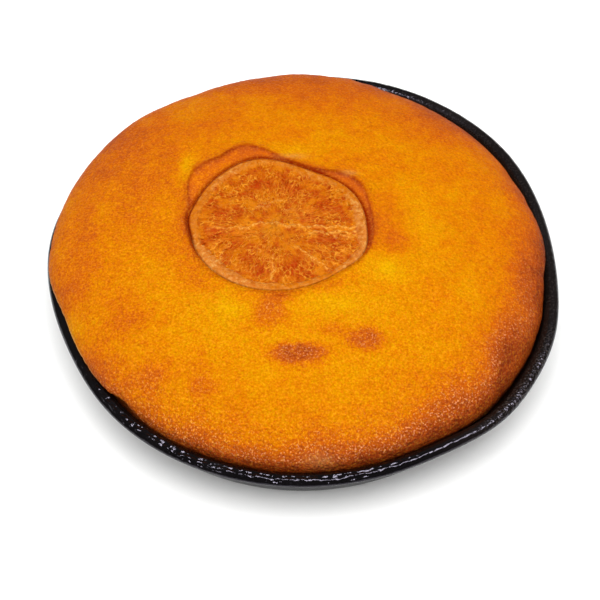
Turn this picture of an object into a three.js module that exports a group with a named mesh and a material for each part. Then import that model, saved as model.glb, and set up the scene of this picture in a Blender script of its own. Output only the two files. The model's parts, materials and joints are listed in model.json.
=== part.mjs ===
import * as THREE from 'three';

// A round orange sponge cake baked in its own shallow black tin, with a candied orange slice in its top.
// Millimetres, +Z up. The tin stands on z = 0 with its middle over the origin, and -Y is the front.
// Angles are degrees in plan: 0 is the right side, 90 the back, 180 the left and 270 the front.

const SEGMENTS = 104;
const SLICE_SEGMENTS = 80;
const CURVE_STEPS = 3;

// Clear space kept between two pieces that lie against each other.
const GAP = 0.3;

// The tin.
const RIM_RADIUS = 99;
const RIM_WIDTH = 4.8;
const RIM_CREST = 0.9;
const RIM_CURL = 1.2;
const TIN_DEPTH = 25.2;
const TIN_FLOOR_RADIUS = 88.8;
const TIN_CORNER = 2.4;
const TIN_BEND = 1.6;
const SHEET = 0.6;
const DENT_FADE = 1.3;

// Where the soft rim is bent out (+) or pushed in (-), and how far round each place spreads.
const RIM_DENTS = [
  { angle: 34, out: 2.6, spread: 19 },
  { angle: 62, out: 2.8, spread: 24 },
  { angle: 172, out: 2.0, spread: 15 },
  { angle: 206, out: -1.8, spread: 16 },
  { angle: 316, out: 3.3, spread: 12 },
  { angle: 336, out: 3.5, spread: 16 },
];

// The cake's edge, and the stretches where the batter rose against the tin or over its rim.
const CAKE_RADIUS = 93.4;
const CAKE_CREST = 42;
const CAKE_DOME = 6;
const SHOULDER_POWER = 8;
const EDGE_HEIGHT = 22.5;
const LAP_HEIGHT = 26.4;
const LIP_THICKNESS = 0.8;
const CAKE_CONTACT = 20.5;
// Rings above the contact line, and how far inside the cake's edge each may lie.
const LAP_RINGS = [
  { above: 0.8, reach: 10 },
  { above: 1.4, reach: 1 },
];
const EDGE_STRETCHES = [
  { from: 306, to: 426, out: 2.2, soft: 10 },
  { from: 66, to: 88, out: 3.5, soft: 12 },
  { from: 88, to: 127, out: 3.0, soft: 8 },
  { from: 127, to: 191, out: 5.8, soft: 9 },
  { from: 190, to: 225, out: 1.3, soft: 7 },
];

// The candied slice, and how far it lies below the crust.
const SLICE_CENTRE = new THREE.Vector2(-9.4, 4.5);
const SLICE_RADIUS = 34.8;
const SLICE_THICKNESS = 4.2;
const SLICE_SINK = 0.7;
const RIND_WIDTH = 4.8;
const RIND_HEIGHT = 0.5;
const RIND_ROUNDING = 0.8;
const MEMBRANE_ANGLES = [-3, 48, 97, 147, 185, 221, 266, 312];
const MEMBRANE_HEIGHT = 0.45;
const MEMBRANE_WIDTH = 1.3;
const CORE_RADIUS = 3.2;
const SLICE_SWELLS = [
  { angle: -22, out: 2.4, spread: 17 },
  { angle: 65, out: -4.3, spread: 32 },
  { angle: 107, out: 1.4, spread: 19 },
  { angle: 174, out: 1.0, spread: 10 },
  { angle: 274, out: -3.8, spread: 75 },
];

// The fold of crust round the back half of the slice: a raised lip, and a step down to the slice inside it.
const FOLD_FROM = -25;
const FOLD_TO = 205;
const FOLD_SOFT = 22;
const FOLD_NEAREST = 0.7;
const FOLD_LOBES = [
  { angle: 0, out: 1.8, spread: 20 },
  { angle: 36, out: 4.7, spread: 19 },
  { angle: 110, out: 6.8, spread: 15 },
  { angle: 140, out: 8.3, spread: 17 },
];
const FOLD_LIP_HEIGHT = 0.5;
const FOLD_LIP_WIDTH = 1.6;
const STEP_DEPTH = 0.6;
const STEP_SOFT = 0.7;
const SURROUND = 9;

// Low browned bumps of the crust, in plan.
const CRUST_BUMPS = [
  { x: -2, y: -53, radius: 8, height: 0.6 },
  { x: 23, y: -46, radius: 6, height: 0.5 },
  { x: -12, y: -38, radius: 6, height: 0.5 },
  { x: -36, y: -67, radius: 7, height: 0.5 },
  { x: -51, y: -61, radius: 7, height: 0.4 },
  { x: 52, y: 20, radius: 22, height: -0.6 },
  { x: -60, y: -8, radius: 20, height: -0.5 },
];
const WAVE_HEIGHT = 0.35;
const WAVE_LENGTH = 110;

const radians = THREE.MathUtils.degToRad;

// The turn from one angle to another, between -180 and 180 degrees.
function turnBetween(angle, from) {
  return THREE.MathUtils.euclideanModulo(angle - from + 180, 360) - 180;
}

function softBump(distance, width) {
  return Math.exp(-((distance / width) ** 2));
}

// The sum of the places that stand out or in at an angle.
function swell(angle, places) {
  return places.reduce((sum, p) => sum + p.out * softBump(turnBetween(angle, p.angle), p.spread), 0);
}

// 1 along a stretch of the round, falling softly to 0 past both its ends.
function stretch(angle, { from, to, soft }) {
  const middle = (from + to) / 2;
  const away = Math.abs(turnBetween(angle, middle));
  const half = (to - from) / 2;
  return 1 - THREE.MathUtils.smoothstep(away, half - soft, half + soft);
}

function atAngle(radius, angle, z, centre = new THREE.Vector2()) {
  const a = radians(angle);
  return new THREE.Vector3(centre.x + radius * Math.cos(a), centre.y + radius * Math.sin(a), z);
}

function anglesRound(count) {
  return Array.from({ length: count }, (_, i) => (i * 360) / count);
}

// A closed skin over rings of points, from a first point below to a last point above.
function loft(first, rings, last) {
  const count = rings[0].length;
  const points = [first, ...rings.flat(), last];
  const lastIndex = points.length - 1;
  const faces = [];
  for (let i = 0; i < count; i += 1) {
    const next = (i + 1) % count;
    faces.push(0, 1 + next, 1 + i);
    for (let ring = 0; ring < rings.length - 1; ring += 1) {
      const low = 1 + ring * count;
      const high = low + count;
      faces.push(low + i, low + next, high + next);
      faces.push(low + i, high + next, high + i);
    }
    const top = lastIndex - count;
    faces.push(top + i, top + next, lastIndex);
  }
  const geometry = new THREE.BufferGeometry().setFromPoints(points);
  geometry.setIndex(faces);
  geometry.computeVertexNormals();
  return geometry;
}

// How far the rim stands from the true round at an angle.
function rimDent(angle) {
  return swell(angle, RIM_DENTS);
}

// A dent is whole at the rim and gone at the floor.
function dentShare(z) {
  return Math.max(z / TIN_DEPTH, 0) ** DENT_FADE;
}

const WALL_FOOT = new THREE.Vector2(TIN_FLOOR_RADIUS, 0);
const WALL_HEAD = new THREE.Vector2(RIM_RADIUS - RIM_WIDTH, TIN_DEPTH - SHEET);
const WALL_SLOPE = (WALL_HEAD.x - WALL_FOOT.x) / (WALL_HEAD.y - WALL_FOOT.y);

function wallRadius(z) {
  return WALL_FOOT.x + WALL_SLOPE * z;
}

// The largest radius at a height that keeps clear of the inside of the wall.
function insideWall(angle, z) {
  const inner = wallRadius(z) - SHEET / 2 - GAP;
  return inner + dentShare(z) * rimDent(angle);
}

// The middle line of the tin's sheet: the floor, the wall, and the rim that arches over and curls down.
function sheetLine() {
  const half = SHEET / 2;
  const rimTop = TIN_DEPTH - half;
  const rimFoot = rimTop - RIM_CREST;
  const outer = RIM_RADIUS - half;
  const line = new THREE.Path();
  line.moveTo(0, half);
  line.lineTo(TIN_FLOOR_RADIUS - TIN_CORNER, half);
  line.quadraticCurveTo(TIN_FLOOR_RADIUS, half, wallRadius(TIN_CORNER), TIN_CORNER);
  line.lineTo(wallRadius(rimFoot - TIN_BEND), rimFoot - TIN_BEND);
  const bend = new THREE.Vector2(wallRadius(rimFoot), rimFoot);
  const crest = new THREE.Vector2((bend.x + outer) / 2, rimTop + RIM_CREST / 3);
  const edge = new THREE.Vector2(outer, rimFoot);
  const rising = bend.clone().lerp(crest, 0.5);
  const falling = crest.clone().lerp(edge, 0.5);
  line.quadraticCurveTo(bend.x, bend.y, rising.x, rising.y);
  line.quadraticCurveTo(crest.x, crest.y, falling.x, falling.y);
  line.quadraticCurveTo(edge.x, edge.y, outer, rimFoot - RIM_CURL);
  return line.getPoints(CURVE_STEPS);
}

// The sheet line moved sideways by half its thickness, to one face of the sheet.
function sheetFace(line, side) {
  return line.map((point, i) => {
    const before = line[Math.max(i - 1, 0)];
    const after = line[Math.min(i + 1, line.length - 1)];
    const along = after.clone().sub(before).normalize();
    return new THREE.Vector2(point.x + along.y * side, point.y - along.x * side);
  });
}

function makeTin() {
  const line = sheetLine();
  const under = sheetFace(line, SHEET / 2);
  const over = sheetFace(line, -SHEET / 2).reverse();
  const profile = [...under, ...over].filter((point) => point.x > 0);
  const rings = profile.map(({ x, y }) =>
    anglesRound(SEGMENTS).map((angle) => atAngle(x + dentShare(y) * rimDent(angle), angle, y)));
  return loft(new THREE.Vector3(0, 0, 0), rings, new THREE.Vector3(0, 0, SHEET));
}

// How far the crust would reach at an angle if the tin weren't in its way.
function risenRadius(angle) {
  return EDGE_STRETCHES.reduce((sum, s) => sum + s.out * stretch(angle, s), CAKE_RADIUS);
}

// The cake's edge: inside the wall, or lifted over the rim where the batter ran past it.
function cakeEdge(angle) {
  const risen = risenRadius(angle);
  const past = risen - (RIM_RADIUS - RIM_WIDTH + rimDent(angle));
  const lift = THREE.MathUtils.smoothstep(past, -1, 0.2);
  const height = THREE.MathUtils.lerp(EDGE_HEIGHT, LAP_HEIGHT, lift);
  const held = Math.min(risen, insideWall(angle, EDGE_HEIGHT));
  const radius = THREE.MathUtils.lerp(held, risen, THREE.MathUtils.smoothstep(past, 0.2, 1.2));
  return { radius, height, lift };
}

function sliceRadius(angle) {
  return SLICE_RADIUS + swell(angle, SLICE_SWELLS);
}

// The bare dome of the crust, without its folds and bumps.
function domeHeight(x, y) {
  const edge = cakeEdge(THREE.MathUtils.radToDeg(Math.atan2(y, x)));
  const share = Math.min(Math.hypot(x, y) / edge.radius, 1);
  const crown = CAKE_CREST - CAKE_DOME * share ** 2;
  return edge.height + (crown - edge.height) * Math.sqrt(1 - share ** SHOULDER_POWER);
}

// How far the fold lies from the slice's edge.
function foldDistance(angle) {
  return FOLD_NEAREST + swell(angle, FOLD_LOBES);
}

// The fold's lip and step at a distance outward from the slice's edge.
function foldHeight(angle, distance) {
  const strength = stretch(angle, { from: FOLD_FROM, to: FOLD_TO, soft: FOLD_SOFT });
  const past = distance - foldDistance(angle);
  const lip = FOLD_LIP_HEIGHT * softBump(past - STEP_SOFT, FOLD_LIP_WIDTH);
  const step = STEP_DEPTH * (1 - THREE.MathUtils.smoothstep(past, -STEP_SOFT, STEP_SOFT));
  return strength * (lip - step);
}

function crustHeight(x, y) {
  const fromSlice = new THREE.Vector2(x, y).sub(SLICE_CENTRE);
  const angle = THREE.MathUtils.radToDeg(fromSlice.angle());
  const fold = foldHeight(angle, fromSlice.length() - sliceRadius(angle));
  const bumpHeight = (bump) => bump.height * softBump(Math.hypot(x - bump.x, y - bump.y), bump.radius);
  const bumps = CRUST_BUMPS.reduce((sum, bump) => sum + bumpHeight(bump), 0);
  const phase = (2 * Math.PI) / WAVE_LENGTH;
  const wave = WAVE_HEIGHT * Math.sin(x * phase) * Math.cos(y * phase);
  const edge = cakeEdge(THREE.MathUtils.radToDeg(Math.atan2(y, x)));
  const calm = 1 - Math.min(Math.hypot(x, y) / edge.radius, 1) ** SHOULDER_POWER;
  return domeHeight(x, y) + fold + (bumps + wave) * calm;
}

// The point of the crust at a distance outward from the slice's edge.
function besideSlice(angle, distance) {
  const point = atAngle(sliceRadius(angle) + distance, angle, 0, SLICE_CENTRE);
  point.z = crustHeight(point.x, point.y);
  return point;
}

// The cake's rings below its edge: the floor, the wall, and where it leaves the wall or laps over the rim.
function cakeSideRings(angles) {
  const floor = angles.map((angle) => atAngle(TIN_FLOOR_RADIUS - TIN_CORNER - GAP, angle, SHEET + GAP));
  const wallHeights = [TIN_CORNER + 1, (TIN_CORNER + CAKE_CONTACT) / 2, CAKE_CONTACT];
  const wall = wallHeights.map((z) => angles.map((angle) => {
    const widest = risenRadius(angle) - (CAKE_CONTACT - z) * WALL_SLOPE;
    return atAngle(Math.min(insideWall(angle, z), widest), angle, z);
  }));
  const lap = LAP_RINGS.map(({ above, reach }) => angles.map((angle) => {
    const { radius, lift } = cakeEdge(angle);
    const low = CAKE_CONTACT + above;
    const z = THREE.MathUtils.lerp(low, LAP_HEIGHT - LIP_THICKNESS, lift);
    return atAngle(Math.max(Math.min(insideWall(angle, low), radius), radius - reach), angle, z);
  }));
  return [floor, ...wall, ...lap];
}

// The crust from the cake's edge in to the slice: close rings on the shoulder and on the fold.
function crustRings(angles) {
  const inward = [0, 0.004, 0.012, 0.03, 0.06, 0.11, 0.19, 0.31, 0.46, 0.63, 0.82];
  const pastFold = [SURROUND, 5.5, 3.4, 2, STEP_SOFT, 0, -STEP_SOFT];
  const betweenFold = [0.66, 0.33];
  const rings = inward.map((share) => angles.map((angle) => {
    const edge = cakeEdge(angle);
    const outer = atAngle(edge.radius, angle, 0);
    const inner = besideSlice(angle, foldDistance(angle) + SURROUND);
    const point = outer.lerp(inner, share);
    point.z = share === 0 ? edge.height : crustHeight(point.x, point.y);
    return point;
  }));
  const distances = [
    ...pastFold.map((past) => (angle) => Math.max(foldDistance(angle) + past, GAP * 2)),
    ...betweenFold.map((share) => (angle) => Math.max((foldDistance(angle) - STEP_SOFT) * share, GAP * 1.5)),
    () => GAP,
  ];
  distances.forEach((distance) => rings.push(angles.map((angle) => besideSlice(angle, distance(angle)))));
  return rings;
}

// The height of the slice's own top before its rind and membranes.
function sliceLevel(x, y) {
  return domeHeight(x, y) - SLICE_SINK;
}

// The hollow that the slice lies in.
function pocketRings(angles) {
  const shares = [1, 0.72, 0.4];
  return shares.map((share) => angles.map((angle) => {
    const point = atAngle((sliceRadius(angle) + GAP) * share, angle, 0, SLICE_CENTRE);
    point.z = sliceLevel(point.x, point.y) - SLICE_THICKNESS - GAP;
    return point;
  }));
}

function makeCake() {
  const angles = anglesRound(SEGMENTS);
  const rings = [...cakeSideRings(angles), ...crustRings(angles), ...pocketRings(angles)];
  const floor = new THREE.Vector3(0, 0, SHEET + GAP);
  const pocketHeight = sliceLevel(SLICE_CENTRE.x, SLICE_CENTRE.y) - SLICE_THICKNESS - GAP;
  return loft(floor, rings, new THREE.Vector3(SLICE_CENTRE.x, SLICE_CENTRE.y, pocketHeight));
}

// What stands up from the slice: the rind's pith ring, the core and the membranes between the wedges.
function sliceRelief(angle, radius) {
  const edge = sliceRadius(angle);
  const rind = RIND_HEIGHT * THREE.MathUtils.smoothstep(radius, edge - RIND_WIDTH - 1, edge - RIND_WIDTH + 1);
  const nearest = Math.min(...MEMBRANE_ANGLES.map((at) => Math.abs(turnBetween(angle, at))));
  const aside = radius * Math.sin(radians(nearest));
  const membrane = MEMBRANE_HEIGHT * softBump(aside, MEMBRANE_WIDTH);
  const core = MEMBRANE_HEIGHT * softBump(radius, CORE_RADIUS);
  return Math.max(rind, membrane, core);
}

function makeOrangeSlice() {
  const angles = anglesRound(SLICE_SEGMENTS);
  const ringAt = (radiusAt, heightAt) => angles.map((angle) => {
    const radius = radiusAt(angle);
    const point = atAngle(radius, angle, 0, SLICE_CENTRE);
    point.z = sliceLevel(point.x, point.y) + heightAt(angle, radius);
    return point;
  });
  const underside = () => -SLICE_THICKNESS;
  const rings = [0.4, 0.72, 1].map((share) => ringAt((angle) => sliceRadius(angle) * share, underside));
  rings.push(ringAt(sliceRadius, (angle, radius) => sliceRelief(angle, radius) - RIND_ROUNDING));
  rings.push(ringAt((angle) => sliceRadius(angle) - RIND_ROUNDING, sliceRelief));
  [RIND_WIDTH - 1, RIND_WIDTH, RIND_WIDTH + 1].forEach((inset) => {
    rings.push(ringAt((angle) => sliceRadius(angle) - inset, sliceRelief));
  });
  [20, 12, 7, 3].forEach((radius) => rings.push(ringAt(() => radius, sliceRelief)));
  const level = sliceLevel(SLICE_CENTRE.x, SLICE_CENTRE.y);
  const below = new THREE.Vector3(SLICE_CENTRE.x, SLICE_CENTRE.y, level - SLICE_THICKNESS);
  const above = new THREE.Vector3(SLICE_CENTRE.x, SLICE_CENTRE.y, level + MEMBRANE_HEIGHT);
  return loft(below, rings, above);
}

function piece(name, geometry, colour, roughness, metalness) {
  const material = new THREE.MeshStandardMaterial({ color: colour, roughness, metalness });
  const mesh = new THREE.Mesh(geometry, material);
  mesh.name = name;
  return mesh;
}

const cakeInTin = new THREE.Group();
cakeInTin.add(piece('tin', makeTin(), '#17130f', 0.3, 0.6));
cakeInTin.add(piece('sponge_cake', makeCake(), '#e27f10', 0.55, 0));
cakeInTin.add(piece('orange_slice', makeOrangeSlice(), '#d9701c', 0.25, 0));

export default cakeInTin;
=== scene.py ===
# %% [markdown]
# # An orange sponge cake in its black tin
#
# The object is a whole round sponge cake, baked and sold in its own shallow black tin, with one candied
# orange slice sunk in its top. Three things carry its looks: a fine-grained orange crust that browns
# towards its edge, a glazed fruit slice with juice sacs, and a thin lacquered tin with a crinkled rim.
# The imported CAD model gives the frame. Each piece here is a finer mesh in the same place as its solid.

# %% Start empty and load the frame
import json
import math

import bpy
import numpy as np
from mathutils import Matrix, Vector

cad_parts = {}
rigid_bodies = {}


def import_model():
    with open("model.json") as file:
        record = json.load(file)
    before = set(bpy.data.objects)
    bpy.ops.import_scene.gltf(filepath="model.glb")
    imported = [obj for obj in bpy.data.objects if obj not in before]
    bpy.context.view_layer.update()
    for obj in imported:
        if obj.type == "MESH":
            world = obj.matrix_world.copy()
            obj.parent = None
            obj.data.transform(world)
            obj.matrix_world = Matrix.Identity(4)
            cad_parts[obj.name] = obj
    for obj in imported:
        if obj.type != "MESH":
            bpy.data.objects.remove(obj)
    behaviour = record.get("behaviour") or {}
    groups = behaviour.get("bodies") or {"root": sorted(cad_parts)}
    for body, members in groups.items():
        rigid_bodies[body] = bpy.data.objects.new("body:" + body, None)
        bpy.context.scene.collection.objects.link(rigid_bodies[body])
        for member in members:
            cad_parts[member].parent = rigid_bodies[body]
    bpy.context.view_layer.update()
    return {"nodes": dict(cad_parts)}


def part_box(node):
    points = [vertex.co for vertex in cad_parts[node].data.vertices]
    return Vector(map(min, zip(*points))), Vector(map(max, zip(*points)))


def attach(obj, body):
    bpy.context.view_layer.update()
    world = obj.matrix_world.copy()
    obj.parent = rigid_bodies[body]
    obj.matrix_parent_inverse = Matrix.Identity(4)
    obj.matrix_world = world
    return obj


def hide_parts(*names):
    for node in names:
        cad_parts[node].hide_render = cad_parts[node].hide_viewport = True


for leftover in list(bpy.data.objects):
    bpy.data.objects.remove(leftover)
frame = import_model()
MM = 0.001
print("CAD nodes:", len(frame["nodes"]))

# %% [markdown]
# ## Angles, swells and stretches
#
# The cake, the slice and the rim are all rounds that a hand or an oven has pushed out of true. Each could
# be drawn as a long list of points. A round with a few named swells is shorter and easier to change, so
# every outline below is a radius plus soft bumps at named angles, the same values as in the CAD source.


# %% Small functions for outlines
def turn_between(angle, start):
    return (np.asarray(angle) - start + 180) % 360 - 180


def soft_bump(distance, width):
    return np.exp(-((distance / width) ** 2))


def smooth_step(value, low, high):
    share = np.clip((value - low) / (high - low), 0, 1)
    return share * share * (3 - 2 * share)


def swell(angle, places):
    return sum(out * soft_bump(turn_between(angle, at), spread) for at, out, spread in places)


def stretch(angle, start, end, soft):
    away = np.abs(turn_between(angle, (start + end) / 2))
    half = (end - start) / 2
    return 1 - smooth_step(away, half - soft, half + soft)


def angles_round(count):
    return np.arange(count) * 360 / count


def at_angle(radius, angle, centre=(0, 0)):
    turned = np.radians(angle)
    return centre[0] + radius * np.cos(turned), centre[1] + radius * np.sin(turned)


# %% [markdown]
# ## Meshes from rings
#
# A turned form such as a cake could be spun, but here each ring has its own outline. So a piece is a
# stack of rings, joined by bands of faces from its underside round to its top. Where a finer grid is
# needed a ring has twice the points of its neighbour, and three triangles fill each place instead of one
# quad.


# %% Join rings into a closed skin
def band(low, low_count, high, high_count):
    fewer = min(low_count, high_count)
    here = np.arange(fewer)
    after = (here + 1) % fewer
    if low_count == high_count:
        return np.stack([low + here, low + after, high + after, high + here], 1).tolist()
    first, middle, last = 2 * here, 2 * here + 1, (2 * here + 2) % (2 * fewer)
    if high_count > low_count:
        corners = [(low + here, low + after, high + middle), (low + here, high + middle, high + first),
                   (low + after, high + last, high + middle)]
    else:
        corners = [(low + first, low + middle, high + here), (low + middle, high + after, high + here),
                   (low + middle, low + last, high + after)]
    return [face for corner in corners for face in np.stack(corner, 1).tolist()]


def skin(name, first, rings, last):
    points = np.concatenate([[first], *rings, [last]])
    counts = [len(ring) for ring in rings]
    starts = np.concatenate([[1], 1 + np.cumsum(counts)])
    faces = [[0, 1 + (i + 1) % counts[0], 1 + i] for i in range(counts[0])]
    for k in range(len(rings) - 1):
        faces += band(starts[k], counts[k], starts[k + 1], counts[k + 1])
    end, top = len(points) - 1, starts[len(rings) - 1]
    faces += [[top + i, top + (i + 1) % counts[-1], end] for i in range(counts[-1])]
    mesh = bpy.data.meshes.new(name)
    mesh.from_pydata((points * MM).tolist(), [], faces)
    mesh.polygons.foreach_set("use_smooth", [True] * len(mesh.polygons))
    piece = bpy.data.objects.new(name, mesh)
    bpy.context.scene.collection.objects.link(piece)
    print(name, "faces:", len(mesh.polygons))
    return piece


def paint(piece, name, values):
    layer = piece.data.attributes.new(name, "FLOAT", "POINT")
    layer.data.foreach_set("value", np.ascontiguousarray(values, dtype=np.float32))


# %% [markdown]
# ## Nodes
#
# Materials and Geometry Nodes are both trees of nodes. One function adds a node with its settings, values
# and links, so that a tree reads from top to bottom. A finished tree is run on a piece and turned into a
# plain mesh, because the export keeps meshes and drops live modifiers' instances.


# %% Add a node, open a tree, run a tree
def add(tree, kind, values=None, links=None, **settings):
    node = tree.nodes.new(kind)
    for name, value in settings.items():
        setattr(node, name, value)
    for socket, value in (values or {}).items():
        node.inputs[socket].default_value = value
    for socket, source in (links or {}).items():
        tree.links.new(source, node.inputs[socket])
    return node


def new_tree(name, numbers):
    tree = bpy.data.node_groups.new(name, "GeometryNodeTree")
    tree.interface.new_socket("Geometry", in_out="INPUT", socket_type="NodeSocketGeometry")
    tree.interface.new_socket("Material", in_out="INPUT", socket_type="NodeSocketMaterial")
    for label in numbers:
        kind = "NodeSocketInt" if label == "Seed" else "NodeSocketFloat"
        tree.interface.new_socket(label, in_out="INPUT", socket_type=kind)
    tree.interface.new_socket("Geometry", in_out="OUTPUT", socket_type="NodeSocketGeometry")
    start = add(tree, "NodeGroupInput")
    return tree, start.outputs


def end_tree(tree, geometry, material):
    real = add(tree, "GeometryNodeRealizeInstances", links={"Geometry": geometry})
    painted = add(tree, "GeometryNodeSetMaterial",
                  links={"Geometry": real.outputs[0], "Material": material})
    add(tree, "NodeGroupOutput", links={"Geometry": painted.outputs[0]})


def run_tree(piece, tree, material, **numbers):
    modifier = piece.modifiers.new(tree.name, "NODES")
    modifier.node_group = tree
    sockets = [item for item in tree.interface.items_tree if item.in_out == "INPUT"]
    identifiers = {item.name.replace(" ", "_").lower(): item.identifier for item in sockets}
    modifier[identifiers["material"]] = material
    for label, value in numbers.items():
        modifier[identifiers[label]] = value
    bpy.context.view_layer.update()
    graph = bpy.context.evaluated_depsgraph_get()
    seen = piece.evaluated_get(graph)
    made = bpy.data.meshes.new_from_object(seen, preserve_all_data_layers=True, depsgraph=graph)
    piece.modifiers.remove(modifier)
    piece.data = made
    triangles = sum(len(face.vertices) - 2 for face in made.polygons)
    print(piece.name, "after", tree.name, "triangles:", triangles)


# %% Colours and empty materials
def srgb(code, alpha=1.0):
    channels = [int(code[i:i + 2], 16) / 255 for i in (1, 3, 5)]
    return (*[c / 12.92 if c <= 0.04045 else ((c + 0.055) / 1.055) ** 2.4 for c in channels], alpha)


def new_material(name):
    material = bpy.data.materials.new(name)
    material.use_nodes = True
    tree = material.node_tree
    tree.nodes.clear()
    shader = add(tree, "ShaderNodeBsdfPrincipled")
    add(tree, "ShaderNodeOutputMaterial", links={"Surface": shader.outputs["BSDF"]})
    place = add(tree, "ShaderNodeTexCoord").outputs["Object"]
    return material, tree, shader, place


# %% [markdown]
# ## Camera
#
# The photograph looks down on the cake at about 55 degrees from the front. How strongly the round of the
# rim narrows away from the lens tells how far off the camera stood: a little over half a metre, with a
# lens of 85 mm on a 36 mm sensor.

# %% Place the camera
CAMERA_AIM = Vector((-0.97, -19.62, 25.0)) * MM
CAMERA_ELEVATION = math.radians(55.0)
CAMERA_DISTANCE = 544.3 * MM
LENS = 85
SENSOR = 36
NEAREST_SEEN = 10 * MM

camera = bpy.data.objects.new("camera", bpy.data.cameras.new("camera"))
camera.data.lens = LENS
camera.data.sensor_width = SENSOR
camera.data.clip_start = NEAREST_SEEN
backward = Vector((0, -math.cos(CAMERA_ELEVATION), math.sin(CAMERA_ELEVATION)))
camera.location = CAMERA_AIM + backward * CAMERA_DISTANCE
camera.rotation_euler = (math.pi / 2 - CAMERA_ELEVATION, 0, 0)
bpy.context.scene.collection.objects.link(camera)
bpy.context.scene.camera = camera
bpy.context.scene.view_settings.view_transform = "Standard"
print("camera at, mm:", [round(v / MM) for v in camera.location])

# %% [markdown]
# ## Light and floor
#
# Food like this is shot on white, under soft light from all round. A wide panel above and two at the
# sides keep the shadows short and without an edge. Black lacquer mirrors what is round it and would turn
# grey, so these are kept out of reflections, as a photographer does with flags. What the rim and the
# glaze do mirror is one wide, shallow soft box above, a little to the front and the right, which adds
# nothing to the even light. The floor is plain white paper. Far from the cake it glows, as a sheet that
# sweeps up into the light does, so that a low view has a pale background too.


# %% Soft boxes and room
MIRRORED_PLACE = Vector((0.1, -0.16, 1.0))
MIRRORED_SIZE = (0.84, 0.34)
MIRRORED_POWER = 22.5
PANEL_PLACE = Vector((0.0, 0.0, 1.1))
PANEL_SIZE = (1.25, 1.25)
PANEL_POWER = 18.5
FILL_REACH = 1.3
FILL_ANGLES = {"left": -60, "right": 60}
FILL_ELEVATION = 50
FILL_SIZE = (1.1, 1.1)
FILL_POWER = 7.0
ROOM_STRENGTH = 0.12


def soft_box(name, place, size, power, mirrored):
    light = bpy.data.objects.new(name, bpy.data.lights.new(name, "AREA"))
    light.data.shape = "RECTANGLE"
    light.data.size, light.data.size_y = size
    light.data.energy = power
    light.location = place
    light.rotation_euler = (CAMERA_AIM - place).to_track_quat("-Z", "Y").to_euler()
    light.visible_glossy = mirrored
    light.visible_diffuse = not mirrored
    bpy.context.scene.collection.objects.link(light)


soft_box("mirrored_above", MIRRORED_PLACE, MIRRORED_SIZE, MIRRORED_POWER, True)
soft_box("panel_above", PANEL_PLACE, PANEL_SIZE, PANEL_POWER, False)
for side, aside in FILL_ANGLES.items():
    raised = math.radians(FILL_ELEVATION)
    turned = math.radians(aside)
    level = math.cos(raised)
    toward = Vector((math.sin(turned) * level, -math.cos(turned) * level, math.sin(raised)))
    soft_box(f"fill_{side}", toward * FILL_REACH, FILL_SIZE, FILL_POWER, False)

room = bpy.data.worlds.new("room")
room.use_nodes = True
room.node_tree.nodes["Background"].inputs["Color"].default_value = (1, 1, 1, 1)
room.node_tree.nodes["Background"].inputs["Strength"].default_value = ROOM_STRENGTH
bpy.context.scene.world = room
print("lights:", [light.name for light in bpy.data.lights])

# %% Paper floor
FLOOR_HALF = 8.0
FLOOR_LEVEL = -0.2 * MM
GLOW_FROM = 0.5
GLOW_FULL = 1.6
GLOW = 0.95

floor_mesh = bpy.data.meshes.new("floor")
floor_corners = [(x * FLOOR_HALF, y * FLOOR_HALF, FLOOR_LEVEL)
                 for x, y in ((-1, -1), (1, -1), (1, 1), (-1, 1))]
floor_mesh.from_pydata(floor_corners, [], [(0, 1, 2, 3)])
floor = bpy.data.objects.new("floor", floor_mesh)
bpy.context.scene.collection.objects.link(floor)
paper, paper_tree, paper_shader, on_floor = new_material("white_paper_floor")
paper_shader.inputs["Base Color"].default_value = srgb("#f7f7f6")
paper_shader.inputs["Roughness"].default_value = 0.9
paper_shader.inputs["Specular IOR Level"].default_value = 0.1
far_off = add(paper_tree, "ShaderNodeVectorMath", links={0: on_floor}, operation="LENGTH").outputs["Value"]
glow = add(paper_tree, "ShaderNodeMapRange", {"From Min": GLOW_FROM, "From Max": GLOW_FULL, "To Max": GLOW},
           {"Value": far_off}, interpolation_type="SMOOTHSTEP").outputs[0]
paper_shader.inputs["Emission Color"].default_value = (1, 1, 1, 1)
paper_tree.links.new(glow, paper_shader.inputs["Emission Strength"])
paper.cycles.emission_sampling = "NONE"
floor_mesh.materials.append(paper)
print("floor, m across:", 2 * FLOOR_HALF)

# %% [markdown]
# ## The tin
#
# The tin is thin metal pressed in one piece: a flat floor, a wall that flares a little and a rim that
# turns outward and curls down. A round profile could be spun, but the soft rim is bent by handling, so
# the ring at each height follows the rim's dents, more at the top and not at all at the floor.

# %% Sizes of the tin
RIM_RADIUS = 99
RIM_WIDTH = 4.8
RIM_CREST = 0.9
RIM_CURL = 1.2
TIN_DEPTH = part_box("tin")[1].z / MM
TIN_FLOOR_RADIUS = 88.8
TIN_CORNER = 2.4
TIN_BEND = 1.6
SHEET = 0.6
DENT_FADE = 1.3
BEND_STEPS = 5
WALL_STEPS = 14
CREST_STEPS = 8
MIDDLE_RADIUS = 1
RIM_DENTS = ((34, 2.6, 19), (62, 2.8, 24), (172, 2.0, 15), (206, -1.8, 16), (316, 3.3, 12), (336, 3.5, 16))
WALL_SLOPE = (RIM_RADIUS - RIM_WIDTH - TIN_FLOOR_RADIUS) / (TIN_DEPTH - SHEET)
GAP = 0.3


def rim_dent(angle):
    return swell(angle, RIM_DENTS)


def dent_share(z):
    return np.maximum(z / TIN_DEPTH, 0) ** DENT_FADE


def wall_radius(z):
    return TIN_FLOOR_RADIUS + WALL_SLOPE * z


def inside_wall(angle, z):
    return wall_radius(z) - SHEET / 2 - GAP + dent_share(z) * rim_dent(angle)


# %% [markdown]
# The sheet's middle line is drawn once, with a soft curve at each bend, and moved half a sheet to either
# side to give its two faces.


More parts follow.
